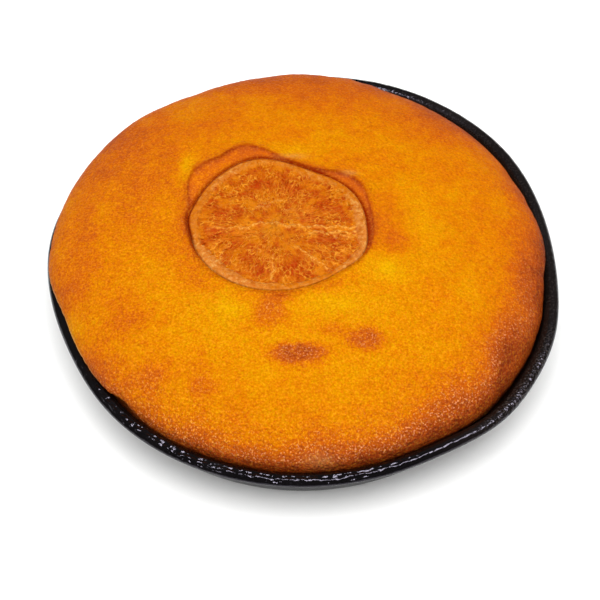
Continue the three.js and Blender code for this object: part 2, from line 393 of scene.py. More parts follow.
# %% Profile of the sheet
def curve(start, corner, end, steps):
    share = np.linspace(0, 1, steps + 1)[1:, None]
    start, corner, end = np.array(start), np.array(corner), np.array(end)
    return (1 - share) ** 2 * start + 2 * share * (1 - share) * corner + share ** 2 * end


def sheet_line():
    half = SHEET / 2
    rim_top = TIN_DEPTH - half
    rim_foot = rim_top - RIM_CREST
    outer = RIM_RADIUS - half
    floor_end = (TIN_FLOOR_RADIUS - TIN_CORNER, half)
    wall_foot = (wall_radius(TIN_CORNER), TIN_CORNER)
    wall_head = (wall_radius(rim_foot - TIN_BEND), rim_foot - TIN_BEND)
    bend = np.array((wall_radius(rim_foot), rim_foot))
    crest = np.array(((bend[0] + outer) / 2, rim_top + RIM_CREST / 3))
    edge = np.array((outer, rim_foot))
    rising = (bend + crest) / 2
    falling = (crest + edge) / 2
    return np.concatenate([
        [(MIDDLE_RADIUS, half), floor_end],
        curve(floor_end, (TIN_FLOOR_RADIUS, half), wall_foot, BEND_STEPS),
        np.linspace(wall_foot, wall_head, WALL_STEPS)[1:],
        curve(wall_head, bend, rising, BEND_STEPS),
        curve(rising, crest, falling, CREST_STEPS),
        curve(falling, edge, (outer, rim_foot - RIM_CURL), BEND_STEPS),
    ])


def sheet_face(line, side):
    before = np.concatenate([line[:1], line[:-1]])
    after = np.concatenate([line[1:], line[-1:]])
    along = (after - before) / np.linalg.norm(after - before, axis=1)[:, None]
    return line + np.stack([along[:, 1], -along[:, 0]], 1) * side


# %% Rings of the tin
RIM_COUNT = 1280
WALL_COUNT = 320

tin_line = sheet_line()
tin_profile = np.concatenate([sheet_face(tin_line, SHEET / 2), sheet_face(tin_line, -SHEET / 2)[::-1]])
tin_rings = []
for radius, height in tin_profile:
    on_rim = height > TIN_DEPTH - RIM_CREST - RIM_CURL - TIN_BEND - SHEET
    wanted = RIM_COUNT if on_rim else WALL_COUNT
    last_count = len(tin_rings[-1]) if tin_rings else WALL_COUNT
    ring_angles = angles_round(int(np.clip(wanted, last_count / 2, last_count * 2)))
    ring_x, ring_y = at_angle(radius + dent_share(height) * rim_dent(ring_angles), ring_angles)
    tin_rings.append(np.stack([ring_x, ring_y, np.full(len(ring_angles), height)], 1))
tin = skin("tin_pan", (0, 0, 0), tin_rings, (0, 0, SHEET))

# %% [markdown]
# ## Where the rim is crinkled and where it is dull
#
# Pressing a flat disc into a tray leaves too much metal at the rim, and it gathers in fine wrinkles. In
# the photograph they are deepest at the front and the left and slight at the right, where the lacquer is
# duller and crazed. Each could be modelled by hand where it shows. Instead each point of the mesh holds
# four numbers: how far across the rim it lies, and how crinkled, how worn and how crazed it is. One rule
# then does the whole rim.

# %% Crinkle, wear and crazing for each point
CRINKLED = ((205, 294, 0.75, 12), (294, 322, 0.2, 8), (225, 262, 0.25, 12), (28, 100, 0.13, 8))
WORN = ((302, 420, 1.0, 8),)
CRAZED = ((312, 338, 1.0, 7), (338, 360, 0.35, 10), (360, 466, 0.3, 10))
CRINKLE_LEAST = 0.2
RIM_ZONE = (TIN_DEPTH - 4, TIN_DEPTH - 1.5)
OUTER_EDGE = (0.8, 1.0)
OUTER_CALM = 0.75
INNER_EDGE = (-0.3, 0.1)
ACROSS_LIMITS = (-0.3, 1.1)


def along_round(angle, stretches):
    return sum(more * stretch(angle, start, end, soft) for start, end, more, soft in stretches)


def points_of(piece):
    flat = np.empty(len(piece.data.vertices) * 3, dtype=np.float32)
    piece.data.vertices.foreach_get("co", flat)
    return flat.reshape(-1, 3).astype(float).T / MM


tin_x, tin_y, tin_z = points_of(tin)
tin_angle = np.degrees(np.arctan2(tin_y, tin_x))
near_rim = smooth_step(tin_z, *RIM_ZONE)
straight_radius = np.hypot(tin_x, tin_y) - dent_share(tin_z) * rim_dent(tin_angle)
across_rim = (straight_radius - (RIM_RADIUS - RIM_WIDTH)) / RIM_WIDTH
inside_edge = 1 - OUTER_CALM * smooth_step(across_rim, *OUTER_EDGE)
paint(tin, "across", np.clip(across_rim, *ACROSS_LIMITS))
paint(tin, "crinkle", near_rim * inside_edge * (CRINKLE_LEAST + along_round(tin_angle, CRINKLED)))
paint(tin, "wear", near_rim * along_round(tin_angle, WORN))
paint(tin, "craze", near_rim * smooth_step(across_rim, *INNER_EDGE) * along_round(tin_angle, CRAZED))
print("points on the rim:", int(np.sum(near_rim > 0)))

# %% [markdown]
# ## Wrinkles by Geometry Nodes
#
# Two noises push the sheet up and down. One is read mostly by direction, so its folds run outward across
# the rim, and the other is even in all directions and breaks them up. They move the sheet by a few tenths
# of a millimetre at most: enough to cut the long highlight into short pieces, too little to show in the
# outline.


# %% Noise as a height
def noise_height(tree, given, place, size, height, detail, middle):
    scale = add(tree, "ShaderNodeMath", {0: 1.0}, {1: given[size]}, operation="DIVIDE").outputs[0]
    noise = add(tree, "ShaderNodeTexNoise", {"Detail": detail},
                {"Vector": place, "Scale": scale, "W": given["Seed"]}, noise_dimensions="4D").outputs[0]
    centred = add(tree, "ShaderNodeMath", {1: middle}, {0: noise}, operation="SUBTRACT").outputs[0]
    return add(tree, "ShaderNodeMath", links={0: centred, 1: given[height]},
               operation="MULTIPLY").outputs[0]


# %% The wrinkle tree
def crinkle_tree():
    sizes = ["Fold Pitch", "Fold Depth", "Mottle Size", "Mottle Depth", "Reach", "Seed"]
    tree, given = new_tree("rim_crinkles", sizes)
    place = add(tree, "GeometryNodeInputPosition").outputs[0]
    share = add(tree, "GeometryNodeInputNamedAttribute", {"Name": "crinkle"}, data_type="FLOAT").outputs[0]
    flat = add(tree, "ShaderNodeVectorMath", {1: (1, 1, 0)}, {0: place}, operation="MULTIPLY").outputs[0]
    toward = add(tree, "ShaderNodeVectorMath", links={0: flat}, operation="NORMALIZE").outputs[0]
    around = add(tree, "ShaderNodeVectorMath", links={0: toward, "Scale": given["Reach"]},
                 operation="SCALE")
    lean = add(tree, "ShaderNodeVectorMath", {"Scale": 0.3}, {0: place}, operation="SCALE").outputs[0]
    track = add(tree, "ShaderNodeVectorMath", links={0: around.outputs[0], 1: lean},
                operation="ADD").outputs[0]
    folds = noise_height(tree, given, track, "Fold Pitch", "Fold Depth", 1.5, 0.6)
    mottle = noise_height(tree, given, place, "Mottle Size", "Mottle Depth", 1.5, 0.6)
    both = add(tree, "ShaderNodeMath", links={0: folds, 1: mottle}, operation="ADD").outputs[0]
    height = add(tree, "ShaderNodeMath", links={0: both, 1: share}, operation="MULTIPLY").outputs[0]
    slight = add(tree, "ShaderNodeVectorMath", {"Scale": 0.3}, {0: toward}, operation="SCALE").outputs[0]
    upward = add(tree, "ShaderNodeVectorMath", {1: (0, 0, 1)}, {0: slight}, operation="ADD").outputs[0]
    offset = add(tree, "ShaderNodeVectorMath", links={0: upward, "Scale": height},
                 operation="SCALE").outputs[0]
    moved = add(tree, "GeometryNodeSetPosition",
                links={"Geometry": given["Geometry"], "Offset": offset}).outputs[0]
    end_tree(tree, moved, given["Material"])
    return tree


# %% [markdown]
# ## Black lacquer on pressed metal
#
# The real surface is thin steel or aluminium under a dark baked lacquer. Lacquer is a smooth film, so it
# shines like plastic and not like bare metal. Oven heat and handling leave it uneven, and fine ripples
# along the rim break the highlight into a row of short dashes. Where it is worn it is duller, and where
# it has crazed, fine cracks catch the light and paler specks are painted on, partly chips and partly
# painted glints. Two patterns are used here and again on the crust and the fruit: noise turned into
# patches, and coats of colour, each shown by the product of a few numbers.


# %% Patches of noise and coats of colour
def patchy(tree, place, size, detail, limits, spread=(0.0, 1.0)):
    cloud = add(tree, "ShaderNodeTexNoise", {"Scale": 1 / (size * MM), "Detail": detail}, {"Vector": place})
    ends = {"From Min": limits[0], "From Max": limits[1], "To Min": spread[0], "To Max": spread[1]}
    return add(tree, "ShaderNodeMapRange", ends, {"Value": cloud.outputs[0]}).outputs[0]


def lay_coats(tree, colour, coats):
    for code, share, *others in coats:
        for other in others:
            share = add(tree, "ShaderNodeMath", links={0: share, 1: other}, operation="MULTIPLY",
                        use_clamp=True).outputs[0]
        colour = add(tree, "ShaderNodeMix", {7: srgb(code)}, {0: share, 6: colour},
                     data_type="RGBA").outputs[2]
    return colour


# %% Lacquer
def lacquer_relief(tree, place, crinkle, craze, across):
    fine, drift = [
        add(tree, "ShaderNodeTexNoise", {"Scale": 1 / (size * MM), "Detail": 2.0},
            {"Vector": place}).outputs[0]
        for size in (1.1, 3.5)]
    flakes = add(tree, "ShaderNodeTexVoronoi", {"Scale": 1 / (0.9 * MM)}, {"Vector": place}).outputs[0]
    flaked = add(tree, "ShaderNodeMath", links={0: flakes, 1: craze}, operation="MULTIPLY").outputs[0]
    turned = add(tree, "ShaderNodeMath", {1: 9.0}, {0: drift}, operation="MULTIPLY").outputs[0]
    phase = add(tree, "ShaderNodeMath", {1: 15.0}, {0: across, 2: turned},
                operation="MULTIPLY_ADD").outputs[0]
    ripple = add(tree, "ShaderNodeMath", links={0: phase}, operation="SINE").outputs[0]
    rippled = add(tree, "ShaderNodeMath", links={0: ripple, 1: crinkle}, operation="MULTIPLY").outputs[0]
    soft = add(tree, "ShaderNodeMath", {1: 0.6}, {0: fine}, operation="MULTIPLY").outputs[0]
    rough = add(tree, "ShaderNodeMath", {1: 0.45}, {0: rippled, 2: soft},
                operation="MULTIPLY_ADD").outputs[0]
    height = add(tree, "ShaderNodeMath", links={0: flaked, 1: rough}, operation="ADD").outputs[0]
    uneven = add(tree, "ShaderNodeMath", links={0: crinkle, 1: craze}, operation="ADD",
                 use_clamp=True).outputs[0]
    relief = add(tree, "ShaderNodeMapRange", {"To Min": 0.12, "To Max": 0.7}, {"Value": uneven}).outputs[0]
    return add(tree, "ShaderNodeBump", {"Distance": 0.35 * MM},
               {"Height": height, "Strength": relief}).outputs[0]


def make_lacquer():
    material, tree, shader, place = new_material("black_baked_lacquer")
    wear, craze, across, crinkle = [
        add(tree, "ShaderNodeAttribute", attribute_name=name).outputs["Fac"]
        for name in ("wear", "craze", "across", "crinkle")]
    cloud = add(tree, "ShaderNodeTexNoise", {"Scale": 1 / (14 * MM), "Detail": 2.0},
                {"Vector": place}).outputs[0]
    black = add(tree, "ShaderNodeMix", {6: srgb("#060505"), 7: srgb("#0b0909")}, {0: cloud},
                data_type="RGBA")
    # Paler specks where the lacquer has crazed: partly chips, partly painted glints
    chip_and_glint_noise = patchy(tree, place, 0.7, 1.0, (0.52, 0.66), (0.0, 0.9))
    chips_and_painted_glints = add(tree, "ShaderNodeMath", links={0: chip_and_glint_noise, 1: craze}, operation="MULTIPLY").outputs[0]
    worn = lay_coats(tree, black.outputs[2], (("#100c0a", wear), ("#352f2b", chips_and_painted_glints)))
    glossy = add(tree, "ShaderNodeMapRange",
                 {"From Min": 0.35, "From Max": 0.7, "To Min": 0.09, "To Max": 0.18},
                 {"Value": cloud}).outputs[0]
    dull = add(tree, "ShaderNodeMath", {1: 0.08}, {0: wear, 2: glossy}, operation="MULTIPLY_ADD").outputs[0]
    tree.links.new(worn, shader.inputs["Base Color"])
    tree.links.new(dull, shader.inputs["Roughness"])
    tree.links.new(lacquer_relief(tree, place, crinkle, craze, across), shader.inputs["Normal"])
    shader.inputs["IOR"].default_value = 1.5
    shader.inputs["Specular IOR Level"].default_value = 0.3
    shader.inputs["Specular Tint"].default_value = srgb("#efe6ff")
    return material


lacquer = make_lacquer()
run_tree(tin, crinkle_tree(), lacquer, fold_pitch=2.6 * MM, fold_depth=0.8 * MM, mottle_size=2.2 * MM,
         mottle_depth=0.9 * MM, reach=97 * MM, seed=3)
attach(tin, "root")
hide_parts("tin")

# %% [markdown]
# ## The cake's form
#
# The batter filled the tin, rose into a low dome and ran over the rim at the back and the left. Sculpting
# would give one cake. A rule that lifts the edge where the batter ran past the wall gives the same edge
# in the CAD solid and here. Round the slice the crust ends in a fold, with a smooth glazed step inside
# it.

# %% Sizes of the cake and the slice
CAKE_RADIUS = 93.4
CAKE_CREST = 42
CAKE_DOME = 6
SHOULDER_POWER = 8
EDGE_HEIGHT = 22.5
LAP_HEIGHT = 26.4
LIP_THICKNESS = 0.8
LIP_REACH = 1
LIFTED_PAST = (-1, 0.2)
FREE_PAST = (0.2, 1.2)
CAKE_CONTACT = 20.5
EDGE_STRETCHES = ((306, 426, 2.2, 10), (66, 88, 3.5, 12), (88, 127, 3.0, 8), (127, 191, 5.8, 9),
                  (190, 225, 1.3, 7))
SLICE_CENTRE = (-9.4, 4.5)
SLICE_HUB = (-11.4, 4.9)
SLICE_RADIUS = 34.8
SLICE_THICKNESS = 4.2
SLICE_SINK = 0.7
SLICE_SWELLS = ((-22, 2.4, 17), (65, -4.3, 32), (107, 1.4, 19), (174, 1.0, 10), (274, -3.8, 75))
FOLD_NEAREST = 0.7
FOLD_LOBES = ((0, 1.8, 20), (36, 4.7, 19), (110, 6.8, 15), (140, 8.3, 17))
FOLD_STRETCH = (-25, 205, 22)
FOLD_SHOWN = ((122, 0.36, 9), (48, 0.2, 10), (0, -0.24, 30), (165, -0.16, 14), (95, -0.12, 8))
FOLD_LIP = 0.5
FOLD_LIP_WIDTH = 1.6
STEP_DEPTH = 0.6
STEP_SOFT = 0.7
SURROUND = 9
GROOVE_DEPTH = 0.25
GROOVE_WIDTH = 0.8
CRUST_BUMPS = ((-2, -53, 8, 0.6), (23, -46, 6, 0.5), (-12, -38, 6, 0.5), (-36, -67, 7, 0.5),
               (-51, -61, 7, 0.4), (52, 20, 22, -0.6), (-60, -8, 20, -0.5))
WAVE_HEIGHT = 0.35
WAVE_LENGTH = 110


# %% The edge, the dome and the fold
def risen_radius(angle):
    return CAKE_RADIUS + along_round(angle, EDGE_STRETCHES)


def cake_edge(angle):
    risen = risen_radius(angle)
    past = risen - (RIM_RADIUS - RIM_WIDTH + rim_dent(angle))
    lift = smooth_step(past, *LIFTED_PAST)
    height = EDGE_HEIGHT + (LAP_HEIGHT - EDGE_HEIGHT) * lift
    held = np.minimum(risen, inside_wall(angle, EDGE_HEIGHT))
    return held + (risen - held) * smooth_step(past, *FREE_PAST), height, lift


def slice_radius(angle):
    return SLICE_RADIUS + swell(angle, SLICE_SWELLS)


def edge_share(x, y):
    radius, height, _ = cake_edge(np.degrees(np.arctan2(y, x)))
    return np.clip(np.hypot(x, y) / radius, 0, 1), height


def dome_height(x, y):
    share, height = edge_share(x, y)
    crown = CAKE_CREST - CAKE_DOME * share ** 2
    return height + (crown - height) * np.sqrt(1 - share ** SHOULDER_POWER)


def from_slice(x, y):
    away_x, away_y = x - SLICE_CENTRE[0], y - SLICE_CENTRE[1]
    angle = np.degrees(np.arctan2(away_y, away_x))
    return angle, np.hypot(away_x, away_y) - slice_radius(angle)


def fold_distance(angle):
    return FOLD_NEAREST + swell(angle, FOLD_LOBES)


def crust_height(x, y):
    angle, distance = from_slice(x, y)
    past = distance - fold_distance(angle)
    lip = FOLD_LIP * soft_bump(past - STEP_SOFT, FOLD_LIP_WIDTH)
    step = STEP_DEPTH * (1 - smooth_step(past, -STEP_SOFT, STEP_SOFT))
    fold = stretch(angle, *FOLD_STRETCH) * (lip - step)
    bumps = sum(high * soft_bump(np.hypot(x - at_x, y - at_y), wide)
                for at_x, at_y, wide, high in CRUST_BUMPS)
    phase = 2 * math.pi / WAVE_LENGTH
    wave = WAVE_HEIGHT * np.sin(x * phase) * np.cos(y * phase)
    share, _ = edge_share(x, y)
    return dome_height(x, y) + fold + (bumps + wave) * (1 - share ** SHOULDER_POWER)


def slice_groove(x, y):
    _, distance = from_slice(x, y)
    return GROOVE_DEPTH * soft_bump(distance - GROOVE_WIDTH / 2, GROOVE_WIDTH)


def slice_level(x, y):
    return dome_height(x, y) - SLICE_SINK


# %% [markdown]
# Rings run from the floor up the wall, out under any lip, over the shoulder and in to the slice. On the
# crust they stand about 0.6 mm apart along its slope, which is as fine as the grain that the mesh has to
# carry.

# %% Rings of the cake
CRUST_SPACING = 0.62
SIDE_COUNT = 192
FOLD_COUNT = 384
CRUST_COUNT = 768
RING_FOLD_LEAST = 1.7
SLOPE_SAMPLES = 4000
FRONT_ANGLE = 270
SIDE_LEVELS = ((SIDE_COUNT, TIN_CORNER + 1), (FOLD_COUNT, (TIN_CORNER + CAKE_CONTACT) / 2),
               (CRUST_COUNT, CAKE_CONTACT))
NO_LIMIT = 99
BELOW_EDGE = ((0.8, NO_LIMIT), (1.4, LIP_REACH))
POCKET = ((0.25, 1.2), (0.3, SLICE_THICKNESS + GAP))
CLOSE_TO_FOLD = 1.2
CLOSE_GROWTH = 2.8
CLOSE_WIDTH = 2.2
ON_FOLD = 0.9
OUTSIDE_RINGS = 14
ON_FOLD_RINGS = 7
BETWEEN_SHARES = (0.8, 0.6, 0.4, 0.2)
SLICE_SHARES = (1.0, 0.78, 0.6, 0.45, 0.32, 0.2, 0.09)


def ring(x, y, z):
    return np.stack(np.broadcast_arrays(x, y, z), 1).astype(float)


def side_rings():
    rings = []
    angle = angles_round(SIDE_COUNT)
    rings.append(ring(*at_angle(TIN_FLOOR_RADIUS - TIN_CORNER - GAP, angle), SHEET + GAP))
    for count, z in SIDE_LEVELS:
        angle = angles_round(count)
        widest = risen_radius(angle) - (CAKE_CONTACT - z) * WALL_SLOPE
        rings.append(ring(*at_angle(np.minimum(inside_wall(angle, z), widest), angle), z))
    angle = angles_round(CRUST_COUNT)
    edge_radius, _, lift = cake_edge(angle)
    lip_height = LAP_HEIGHT - LIP_THICKNESS
    for above, reach in BELOW_EDGE:
        z = CAKE_CONTACT + above
        low = np.minimum(inside_wall(angle, z), edge_radius)
        radius = np.maximum(low, edge_radius - reach)
        rings.append(ring(*at_angle(radius, angle), z + (lip_height - z) * lift))
    return rings


def ring_fold(angle):
    return np.maximum(fold_distance(angle), RING_FOLD_LEAST)


def crust_rings():
    along = np.linspace(0, 1, SLOPE_SAMPLES)
    outer = cake_edge(FRONT_ANGLE)[0]
    reach = outer - (SLICE_RADIUS + FOLD_NEAREST + SURROUND)
    radius = outer - along * reach
    height = dome_height(*at_angle(radius, FRONT_ANGLE))
    length = np.concatenate([[0], np.cumsum(np.hypot(np.diff(radius), np.diff(height)))])
    count = int(length[-1] / CRUST_SPACING)
    shares = np.interp(np.linspace(0, length[-1], count), length, along)[:-1]
    angle = angles_round(CRUST_COUNT)
    edge_x, edge_y = at_angle(cake_edge(angle)[0], angle)
    far = slice_radius(angle) + ring_fold(angle) + SURROUND
    inner_x, inner_y = at_angle(far, angle, SLICE_CENTRE)
    rings = []
    for share in shares:
        x, y = edge_x + (inner_x - edge_x) * share, edge_y + (inner_y - edge_y) * share
        z = cake_edge(angle)[1] if share == 0 else crust_height(x, y)
        rings.append(ring(x, y, z))
    return rings


def fold_rings():
    angle = angles_round(FOLD_COUNT)
    fold = ring_fold(angle)
    close = np.clip((fold - CLOSE_TO_FOLD) / CLOSE_GROWTH, 0, 1) * CLOSE_WIDTH
    outside = [fold + past for past in np.linspace(SURROUND, CLOSE_TO_FOLD, OUTSIDE_RINGS)]
    across = [fold + past for past in np.linspace(ON_FOLD, -ON_FOLD, ON_FOLD_RINGS)]
    between = [close + (fold - CLOSE_TO_FOLD - close) * share for share in BETWEEN_SHARES]
    at_slice = [close * share for share in SLICE_SHARES]
    rings = []
    for distance in outside + across + between + at_slice:
        x, y = at_angle(slice_radius(angle) + distance, angle, SLICE_CENTRE)
        rings.append(ring(x, y, crust_height(x, y) - slice_groove(x, y)))
    return rings


def pocket_rings():
    angle = angles_round(FOLD_COUNT)
    rings = []
    for inset, below in POCKET:
        x, y = at_angle(slice_radius(angle) - inset, angle, SLICE_CENTRE)
        rings.append(ring(x, y, slice_level(x, y) - below))
    angle = angles_round(SIDE_COUNT)
    x, y = at_angle(slice_radius(angle) * 0.5, angle, SLICE_CENTRE)
    rings.append(ring(x, y, slice_level(x, y) - SLICE_THICKNESS - GAP))
    return rings


pocket_middle = (*SLICE_CENTRE, float(slice_level(*SLICE_CENTRE)) - SLICE_THICKNESS - GAP)
cake_rings = side_rings() + crust_rings() + fold_rings() + pocket_rings()
cake = skin("sponge_crust", (0, 0, SHEET + GAP), cake_rings, pocket_middle)

# %% [markdown]
# ## Where the crust browned
#
# Browning is a scale: pale yellow where the crust stayed wet, orange, red-brown, and nearly black where
# batter touched hot metal. A painted picture could hold it. Here one number per point of the mesh does,
# worked out from the distance to the edge, from a few sharp spots and from a list of soft patches that
# are browner or paler than the rest. At the very edge and down the side it is darker still, partly browned
# by the hot metal and partly painted shade, with more painted shade at the front right. The material
# turns it into colour. Further numbers say where a crease (partly browned, partly painted shade in its
# groove), a scraped pale place, a glaze, a coarse grain or sugar is.

# %% Places and amounts of the browning
BASE_BROWNING = 0.35
RAGGED = 0.12
# Each place is two coordinates, a half width and a half depth in mm, and how much browner it is
SPOTS = (
    (-2.4, -53.6, 11.0, 4.4, 0.38), (23.0, -47.0, 6.6, 5.0, 0.36), (-12.0, -37.2, 6.8, 5.4, 0.24),
    (12.0, -43.5, 5.0, 2.6, 0.15), (-36.0, -66.0, 6.0, 4.0, 0.14),
)
BROWNER_PATCHES = (
    (-40, -58, 9.0, 5.0, 0.05), (-11, -28.5, 8.0, 4.0, 0.14), (-8, -29.5, 4.0, 2.5, 0.2),
    (-1, -26, 5.0, 3.0, 0.12), (-33, 57, 10.0, 6.0, 0.08), (72, 26, 6.0, 10.0, 0.09),
    (-69, 6, 7.0, 8.0, 0.07), (36, -4, 5.0, 7.0, 0.07), (-54, -50, 6.0, 6.0, 0.06),
    (-55, -60, 8.0, 5.0, 0.17), (-64, -38, 9.0, 9.0, 0.13), (-74, -55, 9.0, 7.0, 0.14),
    (50, -27, 8.0, 5.0, 0.07), (76, -47, 10.0, 16.0, 0.35), (8, -84, 9.0, 4.0, 0.12),
    (-72, 44, 26.0, 30.0, 0.2), (0, 84, 60.0, 14.0, 0.19), (62, 66, 26.0, 16.0, 0.22),
    (86, -14, 7.0, 18.0, 0.27), (86, 28, 7.0, 16.0, 0.12), (-88, -22, 6.0, 9.0, 0.14),
    (-82, -8, 7.0, 22.0, 0.085), (54, -68, 18.0, 10.0, 0.19), (0, -87, 12.0, 4.0, 0.07),
    (-56, -70, 9.0, 6.0, 0.1), (-88, -4, 8.0, 30.0, 0.06), (42, -81, 10.0, 5.0, 0.1),
    (10, -25, 7.0, 3.8, 0.17), (-42, -14, 5.0, 8.0, 0.13), (-39, -24, 6.0, 4.0, 0.1),
    (27, -17, 4.0, 6.0, 0.14), (33, 6, 7.0, 26.0, 0.1), (-47, 4, 4.0, 16.0, 0.12),
    (0, 52, 4.0, 4.0, 0.06), (-35, 58, 5.0, 4.0, 0.06),
)
PALER_PATCHES = (
    (44, -67, 6.0, 5.0, -0.08), (11, -83, 6.0, 4.0, -0.06), (59, -25, 8.0, 8.0, -0.05),
    (68, -33, 6.0, 8.0, -0.05), (30, -16, 7.0, 6.0, -0.34), (12, -31, 12.0, 6.0, -0.2),
    (-26, -34, 8.0, 6.0, -0.18), (-46, 35, 3.0, 8.0, -0.26), (-8, 43, 8.0, 3.5, -0.14),
    (46, 6, 12.0, 16.0, -0.1), (36, -40, 30.0, 20.0, -0.08), (-30, -50, 30.0, 14.0, -0.06),
    (36, 24, 8.0, 8.0, -0.06), (-86, -34, 5.0, 12.0, -0.03),
)
EDGE_BROWNING = ((210, 240, 0.26, 8), (240, 318, 0.55, 10), (318, 346, 0.56, 8), (346, 368, 0.6, 8),
                 (368, 470, 0.3, 10), (470, 555, 0.16, 12))
EDGE_FADE = 0.05
FOLD_BROWNING = 0.125
FOLD_DARKER = ((-25, 70, 0.12, 15), (84, 112, 0.12, 8))
PAST_FOLD_BROWNING = 0.13
PAST_FOLD_WIDTH = 1.9
MOST_BAKED = 0.84
# At the very edge and down the side: partly browned by hot metal, partly painted shade
BURNT_AND_SHADED_HEIGHT = (-0.6, 1.6)
BURNT_AND_SHADED_ZONE = (0.9, 0.97)
BURNT_AND_SHADED = 0.04
PAINTED_EDGE_SHADE = 0.14
PAINTED_SHADE_ANGLES = (288, 350, 10)
PALE_EDGE = ((20, 88, 0.9, 10), (166, 214, 0.85, 8))
SCRAPED = ((6.0, -91.0, 5.0, 1.6, 0.26), (-4.0, 39.4, 5.0, 1.3, 0.3), (18.6, 30.6, 2.6, 1.3, 0.4))
COARSE_CRUST = (140, 335, 35)
SUGAR_FROM = (0.78, 0.93)
SUGARY_EDGE = (222, 352, 14)
SUGAR_LEAST = 0.3
SUGAR_ON_SPOTS = 0.7
SUGAR_SHIFT = 1.8
UNBURNT = (0.7, 0.88)
FAINTER_CREASE = (100, 205, 20)
PUCKERED_FRONT = (246, 284, 8)


# %% Rules for the browning, the crease and the glaze
def spot_share(x, y, at_x, at_y, wide, deep):
    ragged = 1 + RAGGED * np.sin(x * 1.7 + y) + RAGGED * np.sin(x * 0.6 - y * 2.1)
    away = (((x - at_x) / wide) ** 2 + ((y - at_y) / deep) ** 2) * ragged
    return np.exp(-away ** 2)


def soft_patches(x, y, places):
    return sum(more * np.exp(-((x - at_x) / wide) ** 2 - ((y - at_y) / deep) ** 2)
               for at_x, at_y, wide, deep, more in places)


def fold_browning(x, y):
    angle, distance = from_slice(x, y)
    fold = fold_distance(angle)
    around = stretch(angle, *FOLD_STRETCH)
    inside = (1 - smooth_step(distance, fold - 0.5, fold + 0.3)) * around
    past = PAST_FOLD_BROWNING * soft_bump(distance - fold, PAST_FOLD_WIDTH) * around
    return inside * (FOLD_BROWNING + along_round(angle, FOLD_DARKER)) + past


def browning(x, y, z):
    share, edge_height = edge_share(x, y)
    angle = np.degrees(np.arctan2(y, x))
    spots = sum(more * spot_share(x, y, *where) for *where, more in SPOTS)
    patches = soft_patches(x, y, BROWNER_PATCHES + PALER_PATCHES)
    toward_edge = along_round(angle, EDGE_BROWNING) * np.exp(-(1 - share) / EDGE_FADE)
    baked = np.clip(BASE_BROWNING + spots + patches + toward_edge + fold_browning(x, y), 0, MOST_BAKED)
    # Darker at the edge and down the side: partly browning, partly painted shade, more at the front right
    burnt_and_shaded_share = (1 - smooth_step(z - edge_height, *BURNT_AND_SHADED_HEIGHT)) * smooth_step(share, *BURNT_AND_SHADED_ZONE)
    return baked + burnt_and_shaded_share * (BURNT_AND_SHADED + PAINTED_EDGE_SHADE * stretch(angle, *PAINTED_SHADE_ANGLES))


# Dark line along the slice and the fold, and short lines in front: partly browned, partly painted shade
def shaded_crease(x, y):
    angle, distance = from_slice(x, y)
    around = stretch(angle, *FOLD_STRETCH)
    uneven = 0.92 + 0.08 * np.sin(np.radians(angle * 11)) * np.sin(np.radians(angle * 4 + 50))
    fold = fold_distance(angle) + 0.25 * np.sin(np.radians(angle * 23)) * np.sin(np.radians(angle * 9))
    fainter = 1 - 0.12 * stretch(angle, *FAINTER_CREASE)
    at_slice = soft_bump(distance - 0.45, 1.0) * (0.3 + 0.7 * around) * fainter
    at_fold = soft_bump(distance - fold, 0.75) * around * (0.52 + swell(angle, FOLD_SHOWN))
    puckered = 1.9 + 1.1 * np.sin(np.radians(angle * 8)) + 0.4 * np.sin(np.radians(angle * 31))
    at_front = 0.5 * soft_bump(distance - puckered, 0.4) * stretch(angle, *PUCKERED_FRONT)
    return np.clip(np.maximum(np.maximum(at_slice, at_fold), at_front) * uneven, 0, 1)


def pale_edge(x, y, z):
    _, edge_height = edge_share(x, y)
    uneven = 0.7 + 0.3 * np.sin(x * 1.9) * np.sin(x * 0.8 + y * 2.6)
    scraped = uneven * soft_patches(x, y, SCRAPED)
    angle = np.degrees(np.arctan2(y, x))
    at_edge = along_round(angle, PALE_EDGE) * soft_bump(z - edge_height - 0.2, 0.7)
    return np.maximum(at_edge, scraped * (z > edge_height))


def glaze(x, y):
    angle, distance = from_slice(x, y)
    inside = 1 - smooth_step(distance, fold_distance(angle) - 0.3, fold_distance(angle) + 1.2)
    return inside * stretch(angle, *FOLD_STRETCH)


# %% Paint the numbers on the cake
cake_x, cake_y, cake_z = points_of(cake)
cake_angle = np.degrees(np.arctan2(cake_y, cake_x))
browned = browning(cake_x, cake_y, cake_z)
coarse = 0.5 + 0.5 * stretch(cake_angle, *COARSE_CRUST)
near_edge = smooth_step(edge_share(cake_x, cake_y)[0], *SUGAR_FROM) * stretch(cake_angle, *SUGARY_EDGE)
on_spots = np.max([spot_share(cake_x, cake_y, at_x, at_y + SUGAR_SHIFT, wide, deep)
                   for at_x, at_y, wide, deep, _ in SPOTS], axis=0)
sugared = SUGAR_LEAST + (1 - SUGAR_LEAST) * np.maximum(near_edge, SUGAR_ON_SPOTS * on_spots)
paint(cake, "browning", browned)
paint(cake, "shaded_crease", shaded_crease(cake_x, cake_y))
paint(cake, "glaze", glaze(cake_x, cake_y))
paint(cake, "pale", pale_edge(cake_x, cake_y, cake_z))
paint(cake, "coarse", coarse)
paint(cake, "sugar", coarse * (1 - smooth_step(browned, *UNBURNT)) * sugared)
print("browning from", round(float(browned.min()), 2), "to", round(float(browned.max()), 2))

# %% [markdown]
# ## Crumb and pores
#
# A sponge's crust has a fine grain, with open pores where bubbles broke and soft ripples where it settled.
# Bump in the material alone would vanish at the edge and in the mesh files, so what is coarser than a
# millimetre is real relief. It covers the whole surface by a rule, which is a job for Geometry Nodes. The
# glazed step inside the fold is smooth, so the grain and the pores leave it out.


